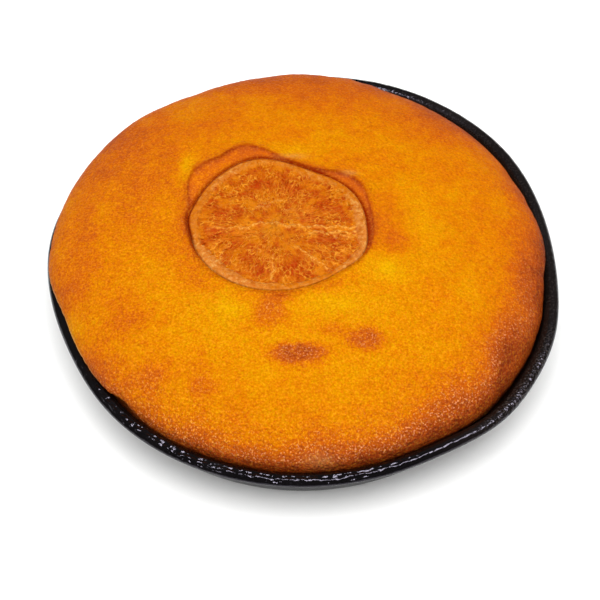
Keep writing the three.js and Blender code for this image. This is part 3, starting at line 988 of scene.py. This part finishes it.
# %% Relief by Geometry Nodes
def crumb_tree():
    sizes = ["Grain Size", "Grain Height", "Pore Size", "Pore Depth",
             "Ripple Size", "Ripple Height", "Seed"]
    tree, given = new_tree("crumb_relief", sizes)
    place = add(tree, "GeometryNodeInputPosition").outputs[0]
    normal = add(tree, "GeometryNodeInputNormal").outputs[0]
    glazed = add(tree, "GeometryNodeInputNamedAttribute", {"Name": "glaze"}, data_type="FLOAT").outputs[0]
    rough = add(tree, "ShaderNodeMath", {0: 1.0}, {1: glazed}, operation="SUBTRACT").outputs[0]
    grain = noise_height(tree, given, place, "Grain Size", "Grain Height", 2.0, 0.75)
    ripple = noise_height(tree, given, place, "Ripple Size", "Ripple Height", 1.0, 0.75)
    scale = add(tree, "ShaderNodeMath", {0: 1.0}, {1: given["Pore Size"]}, operation="DIVIDE").outputs[0]
    cells = add(tree, "ShaderNodeTexVoronoi", links={"Vector": place, "Scale": scale}).outputs[0]
    pores = add(tree, "ShaderNodeMapRange",
                {"From Min": 0.1, "From Max": 0.42, "To Min": -1.0, "To Max": 0.0},
                {"Value": cells}, interpolation_type="SMOOTHSTEP").outputs[0]
    pore = add(tree, "ShaderNodeMath", links={0: pores, 1: given["Pore Depth"]},
               operation="MULTIPLY").outputs[0]
    fine = add(tree, "ShaderNodeMath", links={0: grain, 1: pore}, operation="ADD").outputs[0]
    dry = add(tree, "ShaderNodeMath", links={0: fine, 1: rough}, operation="MULTIPLY").outputs[0]
    height = add(tree, "ShaderNodeMath", links={0: dry, 1: ripple}, operation="ADD").outputs[0]
    offset = add(tree, "ShaderNodeVectorMath", links={0: normal, "Scale": height},
                 operation="SCALE").outputs[0]
    moved = add(tree, "GeometryNodeSetPosition", links={"Geometry": given["Geometry"], "Offset": offset})
    end_tree(tree, moved.outputs[0], given["Material"])
    return tree


# %% [markdown]
# ## Baked sponge crust
#
# The crust is egg, sugar and butter set by heat: a soft, slightly buttery skin that is dull from afar and
# full of tiny glints up close. Noise at four sizes, from 16 mm down to 0.6 mm, is added to the browning
# number, which then goes through a colour scale. Over that lie sugar specks, the dark crease (partly
# browned, partly painted shade) and the scraped places, and last a grain of 0.8 mm: bright glints that
# are painted highlights and dim specks that are painted shade. The real grain is finer, and this is as
# coarse as it needs to be to show.


# %% Colour of the crust
CRUST_SCALE = (
    (0.00, "#c79200"), (0.22, "#c27b00"), (0.36, "#be6801"), (0.50, "#b35308"), (0.64, "#a14410"),
    (0.80, "#89350f"), (0.92, "#6c240c"), (1.00, "#45130a"),
)
HALFWAY = (0.25, 0.75)


def crust_level(tree, place, level, coarse):
    for size, detail, amount in ((16, 3.0, 0.16), (4.5, 2.0, 0.12), (1.3, 3.0, 0.15)):
        cloud = patchy(tree, place, size, detail, HALFWAY, (-amount / 2, amount / 2))
        level = add(tree, "ShaderNodeMath", links={0: level, 1: cloud}, operation="ADD").outputs[0]
    fading = add(tree, "ShaderNodeMapRange",
                 {"From Min": 0.45, "From Max": 0.75, "To Min": 1.0, "To Max": 0.35},
                 {"Value": level}).outputs[0]
    grainy = add(tree, "ShaderNodeMath", links={0: fading, 1: coarse}, operation="MULTIPLY").outputs[0]
    fine = patchy(tree, place, 0.62, 2.0, HALFWAY, (-0.2, 0.12))
    return add(tree, "ShaderNodeMath", links={0: fine, 1: grainy, 2: level},
               operation="MULTIPLY_ADD").outputs[0]


def crust_colour(tree, place, coarse):
    browned, sugar, shaded_crease_share, pale = [
        add(tree, "ShaderNodeAttribute", attribute_name=name).outputs["Fac"]
        for name in ("browning", "sugar", "shaded_crease", "pale")]
    level = crust_level(tree, place, browned, coarse)
    scale = add(tree, "ShaderNodeValToRGB", links={0: level})
    stops = scale.color_ramp.elements
    while len(stops) < len(CRUST_SCALE):
        stops.new(0.5)
    for stop, (position, code) in zip(stops, CRUST_SCALE):
        stop.position = position
        stop.color = srgb(code)
    speck = patchy(tree, place, 0.68, 1.0, (0.56, 0.7), (0.0, 0.85))
    specks = add(tree, "ShaderNodeMath", links={0: speck, 1: sugar}, operation="MULTIPLY").outputs[0]
    paler = add(tree, "ShaderNodeMapRange", {"From Min": 0.42, "From Max": 0.68},
                {"Value": level}).outputs[0]
    crystal = add(tree, "ShaderNodeMix", {6: srgb("#d08a16"), 7: srgb("#d08a5c")}, {0: paler},
                  data_type="RGBA")
    sugared = add(tree, "ShaderNodeMix", links={0: specks, 6: scale.outputs[0], 7: crystal.outputs[2]},
                  data_type="RGBA").outputs[2]
    # The crease coat is partly browning and partly painted shade in the groove and the wrinkles
    return lay_coats(tree, sugared, (("#701400", shaded_crease_share), ("#c99a5c", pale)))


# Painted highlights and painted shade: a noise lightens some specks of the crust and darkens others
def painted_glints_and_shade(tree, place, coarse, colour):
    glint_and_shade_noise = patchy(tree, place, 0.8, 3.0, HALFWAY, (-1.0, 1.0))
    kept = add(tree, "ShaderNodeMapRange", {"To Min": 0.4}, {"Value": coarse}).outputs[0]
    for toward, most, code in ((1.0, 0.2, "#ffb82e"), (-1.0, 0.26, "#5a2400")):
        share = add(tree, "ShaderNodeMapRange", {"From Max": toward, "To Max": most},
                    {"Value": glint_and_shade_noise}).outputs[0]
        shown = add(tree, "ShaderNodeMath", links={0: share, 1: kept}, operation="MULTIPLY").outputs[0]
        colour = lay_coats(tree, colour, ((code, shown),))
    return colour


# %% Baked sponge crust
def make_crust():
    material, tree, shader, place = new_material("baked_sponge_crust")
    coarse, glazed = [add(tree, "ShaderNodeAttribute", attribute_name=name).outputs["Fac"]
                      for name in ("coarse", "glaze")]
    colour = painted_glints_and_shade(tree, place, coarse, crust_colour(tree, place, coarse))
    grain = add(tree, "ShaderNodeTexNoise", {"Scale": 1 / (0.75 * MM), "Detail": 3.0, "Roughness": 0.65},
                {"Vector": place}).outputs[0]
    pits = add(tree, "ShaderNodeTexVoronoi", {"Scale": 1 / (1.3 * MM)}, {"Vector": place}).outputs[0]
    height = add(tree, "ShaderNodeMath", {2: 0.5}, {0: pits, 1: grain}, operation="MULTIPLY_ADD").outputs[0]
    calm = add(tree, "ShaderNodeMapRange", {"To Min": 1.0, "To Max": 0.15}, {"Value": glazed}).outputs[0]
    bump = add(tree, "ShaderNodeBump", {"Distance": 0.9 * MM},
               {"Height": height, "Strength": calm}).outputs[0]
    shine = add(tree, "ShaderNodeMapRange", {"To Min": 0.5, "To Max": 0.36}, {"Value": glazed}).outputs[0]
    tree.links.new(colour, shader.inputs["Base Color"])
    tree.links.new(shine, shader.inputs["Roughness"])
    tree.links.new(bump, shader.inputs["Normal"])
    shader.inputs["Specular IOR Level"].default_value = 0.03
    shader.inputs["Specular Tint"].default_value = srgb("#ffb040")
    shader.inputs["IOR"].default_value = 1.45
    return material


crust = make_crust()
run_tree(cake, crumb_tree(), crust, grain_size=2.0 * MM, grain_height=0.4 * MM, pore_size=3.0 * MM,
         pore_depth=0.2 * MM, ripple_size=11 * MM, ripple_height=0.5 * MM, seed=5)
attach(cake, "root")
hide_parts("sponge_cake")

# %% [markdown]
# ## The candied slice
#
# A candied slice is a cut across an orange: a pale rind ring, thin membranes that run to a pithy hub, and
# wedges of flesh between them. Sugar has made it glassy. One mesh holds the ring, the membranes and the
# bed of the flesh, and the juice sacs are a piece of their own, because they repeat.

# %% Slice form
RIND_WIDTH = 3.9
RIND_WIDENED = ((-5, 0.5, 20), (225, 0.6, 20), (275, -1.2, 22), (318, -2.1, 20), (95, -0.9, 25))
RIND_HEIGHT = 0.5
RIND_ROUNDING = 0.8
MEMBRANES = (
    ((-1.0, 3.6), (22.5, 3.4), 0.45, 0.95), ((3.0, 0.6), (22.5, 1.0), 0.5, 1.0),
    ((12.0, -0.9), (21.0, -0.6), 0.35, 0.6), ((-2.5, -6.0), (11.0, -17.6), 0.5, 0.9),
    ((-11.4, -9.0), (-11.2, -22.6), 0.45, 0.65), ((-37.5, 3.2), (-23.3, 3.6), 0.45, 0.5),
    ((-31.0, -10.6), (-30.7, -17.5), 0.5, 0.85), ((-15.8, 15.2), (-7.0, 16.6), 0.4, 0.5),
    ((-24.0, 2.6), (-15.0, 5.6), 0.6, 0.9), ((-15.0, 5.6), (-6.0, 4.0), 0.6, 0.9),
    ((-6.0, 4.0), (-1.0, 3.6), 0.6, 0.9), ((-17.5, 13.2), (-12.0, 14.2), 0.5, 0.5),
    ((-7.0, 12.2), (-3.0, 11.8), 0.5, 0.5),
)
HUB_LINE = (((-25.0, 2.6), (-14.0, 6.0)), ((-14.0, 6.0), (2.0, 3.2)), ((-13.0, 6.0), (-12.0, -3.0)))
HUB_WIDTH = 3.4
MEMBRANE_HEIGHT = 0.15
FLESH_DEPTH = 0.25
PEACH_RIND = ((196, 258, 0.5, 14), (318, 380, 0.55, 14), (112, 150, 0.3, 12))
SHADED_RIM = (52, 196, 12)
DARK_FLESH = ((-16.6, 26.5, 4.8), (-29.5, 9.6, 4.6), (-33.5, 0.8, 3.8), (-16.5, -16.4, 4.8),
              (-2.4, -16.0, 5.0), (2.0, 7.6, 4.2), (10.7, 13.3, 4.0), (12.4, -2.6, 3.6),
              (-4.0, 22.0, 5.0), (-26.0, -4.0, 3.0))
STREAKY_FLESH = ((-30.5, 1.5, 7.0), (4.0, 7.5, 6.5), (-6.0, 24.0, 6.0), (12.0, -6.0, 6.0),
                 (-14.0, -15.0, 5.0))
STREAKY_LEAST = 0.12
STREAKY_MORE = 0.85
RIM_SHADE = 0.25
FLESH_FROM = 0.6
UNDER_SLICE = ((6, SLICE_THICKNESS), (0.5, SLICE_THICKNESS), (0, SLICE_THICKNESS - 0.5))
ROUNDING_RINGS = 6
SLICE_COUNT = 480
SLICE_SPACING = 0.42


def from_line(x, y, start, end):
    along_x, along_y = end[0] - start[0], end[1] - start[1]
    length = math.hypot(along_x, along_y)
    share = np.clip(((x - start[0]) * along_x + (y - start[1]) * along_y) / length ** 2, 0, 1)
    return np.hypot(x - start[0] - share * along_x, y - start[1] - share * along_y)


def pith_share(x, y):
    angle, distance = from_slice(x, y)
    wander = 0.45 * np.sin(np.radians(angle * 7))
    wander += 0.4 * np.sin(np.radians(angle * 17 + 40)) * np.sin(np.radians(angle * 5))
    width = RIND_WIDTH + swell(angle, RIND_WIDENED) + wander
    rind = smooth_step(distance, -width - 0.9, -width + 0.9)
    bent_x = x + 0.5 * np.sin(y * 0.9 + 0.6) + 0.25 * np.sin(y * 2.3)
    bent_y = y + 0.5 * np.sin(x * 0.8) + 0.25 * np.sin(x * 2.1 + 1.0)
    membrane = np.max([shown * soft_bump(from_line(bent_x, bent_y, start, end), wide)
                       for start, end, wide, shown in MEMBRANES], axis=0)
    return rind, membrane * (1 - rind)


def slice_top(x, y):
    rind, membrane = pith_share(x, y)
    raised = np.maximum(rind * RIND_HEIGHT, membrane * MEMBRANE_HEIGHT)
    bed = FLESH_DEPTH * (1 - np.maximum(rind, membrane))
    return slice_level(x, y) + raised - bed


def slice_rings():
    angle = angles_round(SLICE_COUNT)
    edge = slice_radius(angle)
    rings = []
    for inset, below in UNDER_SLICE:
        x, y = at_angle(edge - inset, angle, SLICE_CENTRE)
        rings.append(ring(x, y, slice_level(x, y) - below))
    for turned in np.radians(np.linspace(0, 90, ROUNDING_RINGS)):
        inset = RIND_ROUNDING * (1 - math.cos(turned))
        x, y = at_angle(edge - inset, angle, SLICE_CENTRE)
        rings.append(ring(x, y, slice_top(x, y) - RIND_ROUNDING * (1 - math.sin(turned))))
    count = int((SLICE_RADIUS - RIND_ROUNDING) / SLICE_SPACING)
    for share in np.linspace(1, 0, count)[1:-1]:
        x, y = at_angle((edge - RIND_ROUNDING) * share, angle, SLICE_CENTRE)
        rings.append(ring(x, y, slice_top(x, y)))
    return rings


slice_low = (*SLICE_CENTRE, float(slice_level(*SLICE_CENTRE)) - SLICE_THICKNESS)
slice_high = (*SLICE_CENTRE, float(slice_top(*SLICE_CENTRE)))
orange = skin("candied_slice", slice_low, slice_rings(), slice_high)


# %% Paint the numbers on the slice
def round_places(x, y, places):
    return sum(soft_bump(np.hypot(x - at_x, y - at_y), wide) for at_x, at_y, wide in places)


orange_x, orange_y, orange_z = points_of(orange)
orange_angle, orange_distance = from_slice(orange_x, orange_y)
rind_share, membrane_share = pith_share(orange_x, orange_y)
shaded = smooth_step(orange_distance, -1.3, -0.4) * stretch(orange_angle, *SHADED_RIM)
at_rim = RIM_SHADE * smooth_step(orange_distance, -0.5, -0.1)
near_hub = np.max([soft_bump(from_line(orange_x, orange_y, *ends), HUB_WIDTH) for ends in HUB_LINE], axis=0)
dark_flesh = round_places(orange_x, orange_y, DARK_FLESH)
streaky = round_places(orange_x, orange_y, STREAKY_FLESH)
flesh_share = (1 - rind_share) * (1 - np.minimum(membrane_share * 2, 1))
on_top = orange_z > slice_level(orange_x, orange_y) - FLESH_FROM
paint(orange, "rind", rind_share)
paint(orange, "membrane", membrane_share)
paint(orange, "peach", along_round(orange_angle, PEACH_RIND))
paint(orange, "shaded", np.maximum(shaded, at_rim))
paint(orange, "hub", near_hub)
paint(orange, "dark", np.clip(dark_flesh, 0, 1))
paint(orange, "streaky", np.clip(STREAKY_LEAST + STREAKY_MORE * streaky, 0, 1))
paint(orange, "flesh", np.where(on_top, flesh_share, 0))
print("points on flesh:", int(np.sum(on_top & (flesh_share > 0.5))))

# %% [markdown]
# ## Candied rind and flesh
#
# Pith boiled in syrup turns from white to a waxy tan, and the flesh to amber, redder where it is thick.
# Between the sacs a net of short bright lines runs out from the hub: painted highlights on the sac walls.
# The net is a cell pattern read in turns round the hub and in distance from it, bent by noise and shown
# only in patches. Streaks that point at the hub, the light ones painted highlights, and dark flecks of
# painted shade come from noise read the same way or evenly. All of them are coats of colour, laid over a
# base that drifts from red-brown to amber.


# %% Patterns round the hub
def round_hub(tree, place, swirl_depth):
    hub = (SLICE_HUB[0] * MM, SLICE_HUB[1] * MM, 0)
    from_hub = add(tree, "ShaderNodeVectorMath", {1: hub}, {0: place}, operation="SUBTRACT").outputs[0]
    swirl = add(tree, "ShaderNodeTexNoise", {"Scale": 1 / (1.9 * MM), "Detail": 1.0},
                {"Vector": place}).outputs[1]
    centred = add(tree, "ShaderNodeVectorMath", {1: (0.5, 0.5, 0.5)}, {0: swirl},
                  operation="SUBTRACT").outputs[0]
    bend = add(tree, "ShaderNodeVectorMath", {"Scale": swirl_depth}, {0: centred},
               operation="SCALE").outputs[0]
    bent = add(tree, "ShaderNodeVectorMath", links={0: from_hub, 1: bend}, operation="ADD").outputs[0]
    flat = add(tree, "ShaderNodeVectorMath", {1: (1, 1, 0)}, {0: bent}, operation="MULTIPLY").outputs[0]
    parts = add(tree, "ShaderNodeSeparateXYZ", links={0: flat})
    turn = add(tree, "ShaderNodeMath", links={0: parts.outputs[1], 1: parts.outputs[0]},
               operation="ARCTAN2").outputs[0]
    reach = add(tree, "ShaderNodeVectorMath", links={0: flat}, operation="LENGTH").outputs["Value"]
    return turn, reach


def cells_round(tree, turn, reach, per_turn, length):
    around = add(tree, "ShaderNodeMath", {1: per_turn}, {0: turn}, operation="MULTIPLY").outputs[0]
    along = add(tree, "ShaderNodeMath", {1: length}, {0: reach}, operation="DIVIDE").outputs[0]
    return add(tree, "ShaderNodeCombineXYZ", links={0: around, 1: along}).outputs[0]


# Short bright lines between the sacs: painted highlights on the sac walls
def painted_highlight_net(tree, place):
    turn, reach = round_hub(tree, place, 2.8 * MM)
    cells = cells_round(tree, turn, reach, 15.0, 2.6 * MM)
    border = add(tree, "ShaderNodeTexVoronoi", {"Scale": 1.0}, {"Vector": cells},
                 feature="DISTANCE_TO_EDGE", voronoi_dimensions="2D").outputs["Distance"]
    return add(tree, "ShaderNodeMapRange",
               {"From Min": 0.02, "From Max": 0.19, "To Min": 0.82, "To Max": 0.0},
               {"Value": border}, interpolation_type="SMOOTHSTEP").outputs[0]


def streak_noise(tree, place):
    turn, reach = round_hub(tree, place, 0.8 * MM)
    cells = cells_round(tree, turn, reach, 24.0, 9.0 * MM)
    return add(tree, "ShaderNodeTexNoise", {"Scale": 1.0, "Detail": 2.0}, {"Vector": cells}).outputs[0]


# %% Colour of the flesh
def flesh_colour(tree, place):
    darker, streaky, hub = [add(tree, "ShaderNodeAttribute", attribute_name=name).outputs["Fac"]
                            for name in ("dark", "streaky", "hub")]
    wide_patches = patchy(tree, place, 5.0, 1.0, (0.42, 0.56), (0.15, 1.0))
    small_patches = patchy(tree, place, 1.7, 3.0, (0.4, 0.58), (0.25, 1.0))
    lively = add(tree, "ShaderNodeMath", links={0: wide_patches, 1: small_patches}, operation="MULTIPLY",
                 use_clamp=True).outputs[0]
    highlight_net = add(tree, "ShaderNodeMath", links={0: painted_highlight_net(tree, place), 1: lively}, operation="MULTIPLY",
              use_clamp=True).outputs[0]
    streak = streak_noise(tree, place)
    # The light streaks are painted highlights on the sacs
    light, deep = [add(tree, "ShaderNodeMapRange", {"From Min": 0.5, "From Max": end, "To Max": 0.75},
                       {"Value": streak}).outputs[0] for end in (0.68, 0.34)]
    ripe = add(tree, "ShaderNodeMix", {6: srgb("#9c3802"), 7: srgb("#b66304")},
               {0: patchy(tree, place, 4.5, 2.0, (0.4, 0.6))}, data_type="RGBA").outputs[2]
    colour = lay_coats(tree, ripe, (
        ("#9a2b03", darker, patchy(tree, place, 3.0, 2.0, (0.2, 0.5))),
        ("#8a2a03", deep, streaky),
        ("#c97420", light, streaky),
        ("#cc780c", hub, patchy(tree, place, 2.2, 2.0, (0.38, 0.62), (0.0, 0.5))),
        # Dark flecks: painted shade between the sacs
        ("#842803", patchy(tree, place, 1.2, 3.0, (0.54, 0.66), (0.0, 0.9)), lively),
        ("#cf8a26", highlight_net),
    ))
    return colour, highlight_net


# %% Candied pith
def make_candied_pith():
    material, tree, shader, place = new_material("candied_orange_pith")
    membrane, peachy, rind, shaded_rim = [
        add(tree, "ShaderNodeAttribute", attribute_name=name).outputs["Fac"]
        for name in ("membrane", "peach", "rind", "shaded")]
    fruit, highlight_net = flesh_colour(tree, place)
    fuzzy = patchy(tree, place, 0.9, 2.0, (0.38, 0.62), (0.0, 1.15))
    veined = lay_coats(tree, fruit, (("#d2943e", membrane, fuzzy),))
    peach, border = [
        add(tree, "ShaderNodeMath", links={0: share, 1: patchy(tree, place, size, 3.0, (0.3, 0.7), spread)},
            operation="ADD", use_clamp=True).outputs[0]
        for share, size, spread in ((peachy, 1.7, (-0.35, 0.45)), (rind, 1.1, (-0.5, 0.4)))]
    smooth = add(tree, "ShaderNodeMix", {6: srgb("#b05e04"), 7: srgb("#b66e32")}, {0: peach},
                 data_type="RGBA").outputs[2]
    pithy = add(tree, "ShaderNodeMapRange", {"From Max": 0.45, "To Min": 0.4}, {"Value": peachy}).outputs[0]
    fibrous = patchy(tree, place, 1.2, 3.0, (0.46, 0.66), (0.0, 0.95))
    here_and_there = patchy(tree, place, 6.0, 1.0, (0.35, 0.6), (0.3, 1.0))
    waxy = lay_coats(tree, smooth, (
        ("#c4904a", fibrous, here_and_there, pithy),
        ("#9c4c08", patchy(tree, place, 1.9, 3.0, (0.48, 0.66), (0.0, 0.8))),
    ))
    ringed = add(tree, "ShaderNodeMix", links={0: border, 6: veined, 7: waxy}, data_type="RGBA").outputs[2]
    colour = lay_coats(tree, ringed, (("#731d00", shaded_rim),))
    spots = patchy(tree, place, 1.0, 2.0, (0.3, 0.7))
    height = add(tree, "ShaderNodeMath", {1: 0.6}, {0: highlight_net, 2: spots}, operation="MULTIPLY_ADD").outputs[0]
    bump = add(tree, "ShaderNodeBump", {"Strength": 0.7, "Distance": 0.35 * MM}, {"Height": height})
    tree.links.new(colour, shader.inputs["Base Color"])
    tree.links.new(bump.outputs[0], shader.inputs["Normal"])
    shader.inputs["Roughness"].default_value = 0.34
    shader.inputs["IOR"].default_value = 1.47
    shader.inputs["Specular IOR Level"].default_value = 0.15
    shader.inputs["Specular Tint"].default_value = srgb("#ffb058")
    return material


pith = make_candied_pith()
orange.data.materials.append(pith)
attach(orange, "root")
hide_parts("orange_slice")

# %% [markdown]
# ## Juice sacs
#
# Each wedge is packed with small teardrop sacs that point to the hub. They could be bump in the material
# alone, but their glints come from real rounds. A thousand alike things laid over a surface by a rule are
# what Geometry Nodes do best: points are spread over the flesh, a drop with few faces is set on each,
# turned outward with some jitter, and half sunk in its bed. Each drop keeps a random tone, and the material
# makes the highest tones brighter.


# %% Sacs by Geometry Nodes
def sac_tree():
    sizes = ["Spacing", "Length", "Width", "Height", "Sink", "Jitter", "Hub X", "Hub Y", "Seed"]
    tree, given = new_tree("juice_sacs", sizes)
    flesh = add(tree, "GeometryNodeInputNamedAttribute", {"Name": "flesh"}, data_type="FLOAT").outputs[0]
    spread = add(tree, "GeometryNodeDistributePointsOnFaces", {"Density Max": 900000.0},
                 {"Mesh": given["Geometry"], "Distance Min": given["Spacing"], "Density Factor": flesh,
                  "Seed": given["Seed"]}, distribute_method="POISSON")
    place = add(tree, "GeometryNodeInputPosition").outputs[0]
    hub = add(tree, "ShaderNodeCombineXYZ", links={"X": given["Hub X"], "Y": given["Hub Y"]}).outputs[0]
    outward = add(tree, "ShaderNodeVectorMath", links={0: place, 1: hub}, operation="SUBTRACT").outputs[0]
    level = add(tree, "ShaderNodeVectorMath", {1: (1, 1, 0)}, {0: outward}, operation="MULTIPLY").outputs[0]
    straight = add(tree, "ShaderNodeVectorMath", links={0: level}, operation="NORMALIZE").outputs[0]
    chance = add(tree, "FunctionNodeRandomValue", {0: (-1, -1, -0.25), 1: (1, 1, 0.25)},
                 {"Seed": given["Seed"]}, data_type="FLOAT_VECTOR").outputs[0]
    bent = add(tree, "ShaderNodeVectorMath", links={0: chance, "Scale": given["Jitter"]},
               operation="SCALE").outputs[0]
    heading = add(tree, "ShaderNodeVectorMath", links={0: straight, 1: bent}, operation="ADD").outputs[0]
    turn = add(tree, "FunctionNodeAlignRotationToVector", links={"Vector": heading}, axis="X").outputs[0]
    drop = add(tree, "GeometryNodeMeshUVSphere", {"Segments": 6, "Rings": 4, "Radius": 0.5}).outputs[0]
    size = add(tree, "ShaderNodeCombineXYZ",
               links={"X": given["Length"], "Y": given["Width"], "Z": given["Height"]}).outputs[0]
    growth = add(tree, "FunctionNodeRandomValue", {2: 0.6, 3: 1.35}, {"Seed": given["Seed"]},
                 data_type="FLOAT").outputs[1]
    scale = add(tree, "ShaderNodeVectorMath", links={0: size, "Scale": growth},
                operation="SCALE").outputs[0]
    sacs = add(tree, "GeometryNodeInstanceOnPoints",
               links={"Points": spread.outputs[0], "Instance": drop, "Rotation": turn,
                      "Scale": scale}).outputs[0]
    tone = add(tree, "FunctionNodeRandomValue", {2: 0.0, 3: 1.0, "Seed": 9}, data_type="FLOAT").outputs[1]
    toned = add(tree, "GeometryNodeStoreNamedAttribute", {"Name": "tone"},
                {"Geometry": sacs, "Value": tone}, data_type="FLOAT", domain="INSTANCE").outputs[0]
    down = add(tree, "ShaderNodeCombineXYZ", links={"Z": given["Sink"]}).outputs[0]
    sunk = add(tree, "GeometryNodeTranslateInstances",
               links={"Instances": toned, "Translation": down}).outputs[0]
    smooth = add(tree, "GeometryNodeSetShadeSmooth", links={"Geometry": sunk}).outputs[0]
    end_tree(tree, smooth, given["Material"])
    return tree


# %% Candied flesh
def make_candied_flesh():
    material, tree, shader, place = new_material("candied_orange_flesh")
    tone = add(tree, "ShaderNodeAttribute", attribute_name="tone").outputs["Fac"]
    bright = add(tree, "ShaderNodeMapRange", {"From Min": 0.75, "From Max": 1.0, "To Max": 0.5},
                 {"Value": tone})
    fruit, _ = flesh_colour(tree, place)
    colour = lay_coats(tree, fruit, (("#b87210", bright.outputs[0]),))
    tree.links.new(colour, shader.inputs["Base Color"])
    shader.inputs["Roughness"].default_value = 0.24
    shader.inputs["IOR"].default_value = 1.47
    shader.inputs["Specular IOR Level"].default_value = 0.2
    shader.inputs["Specular Tint"].default_value = srgb("#ffa848")
    return material


flesh = make_candied_flesh()

sacs = bpy.data.objects.new("juice_sacs", orange.data.copy())
bpy.context.scene.collection.objects.link(sacs)
sacs.data.materials.clear()
run_tree(sacs, sac_tree(), flesh, spacing=0.95 * MM, length=2.3 * MM, width=0.62 * MM, height=0.5 * MM,
         sink=-0.08 * MM, jitter=0.8, hub_x=SLICE_HUB[0] * MM, hub_y=SLICE_HUB[1] * MM, seed=4)
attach(sacs, "root")
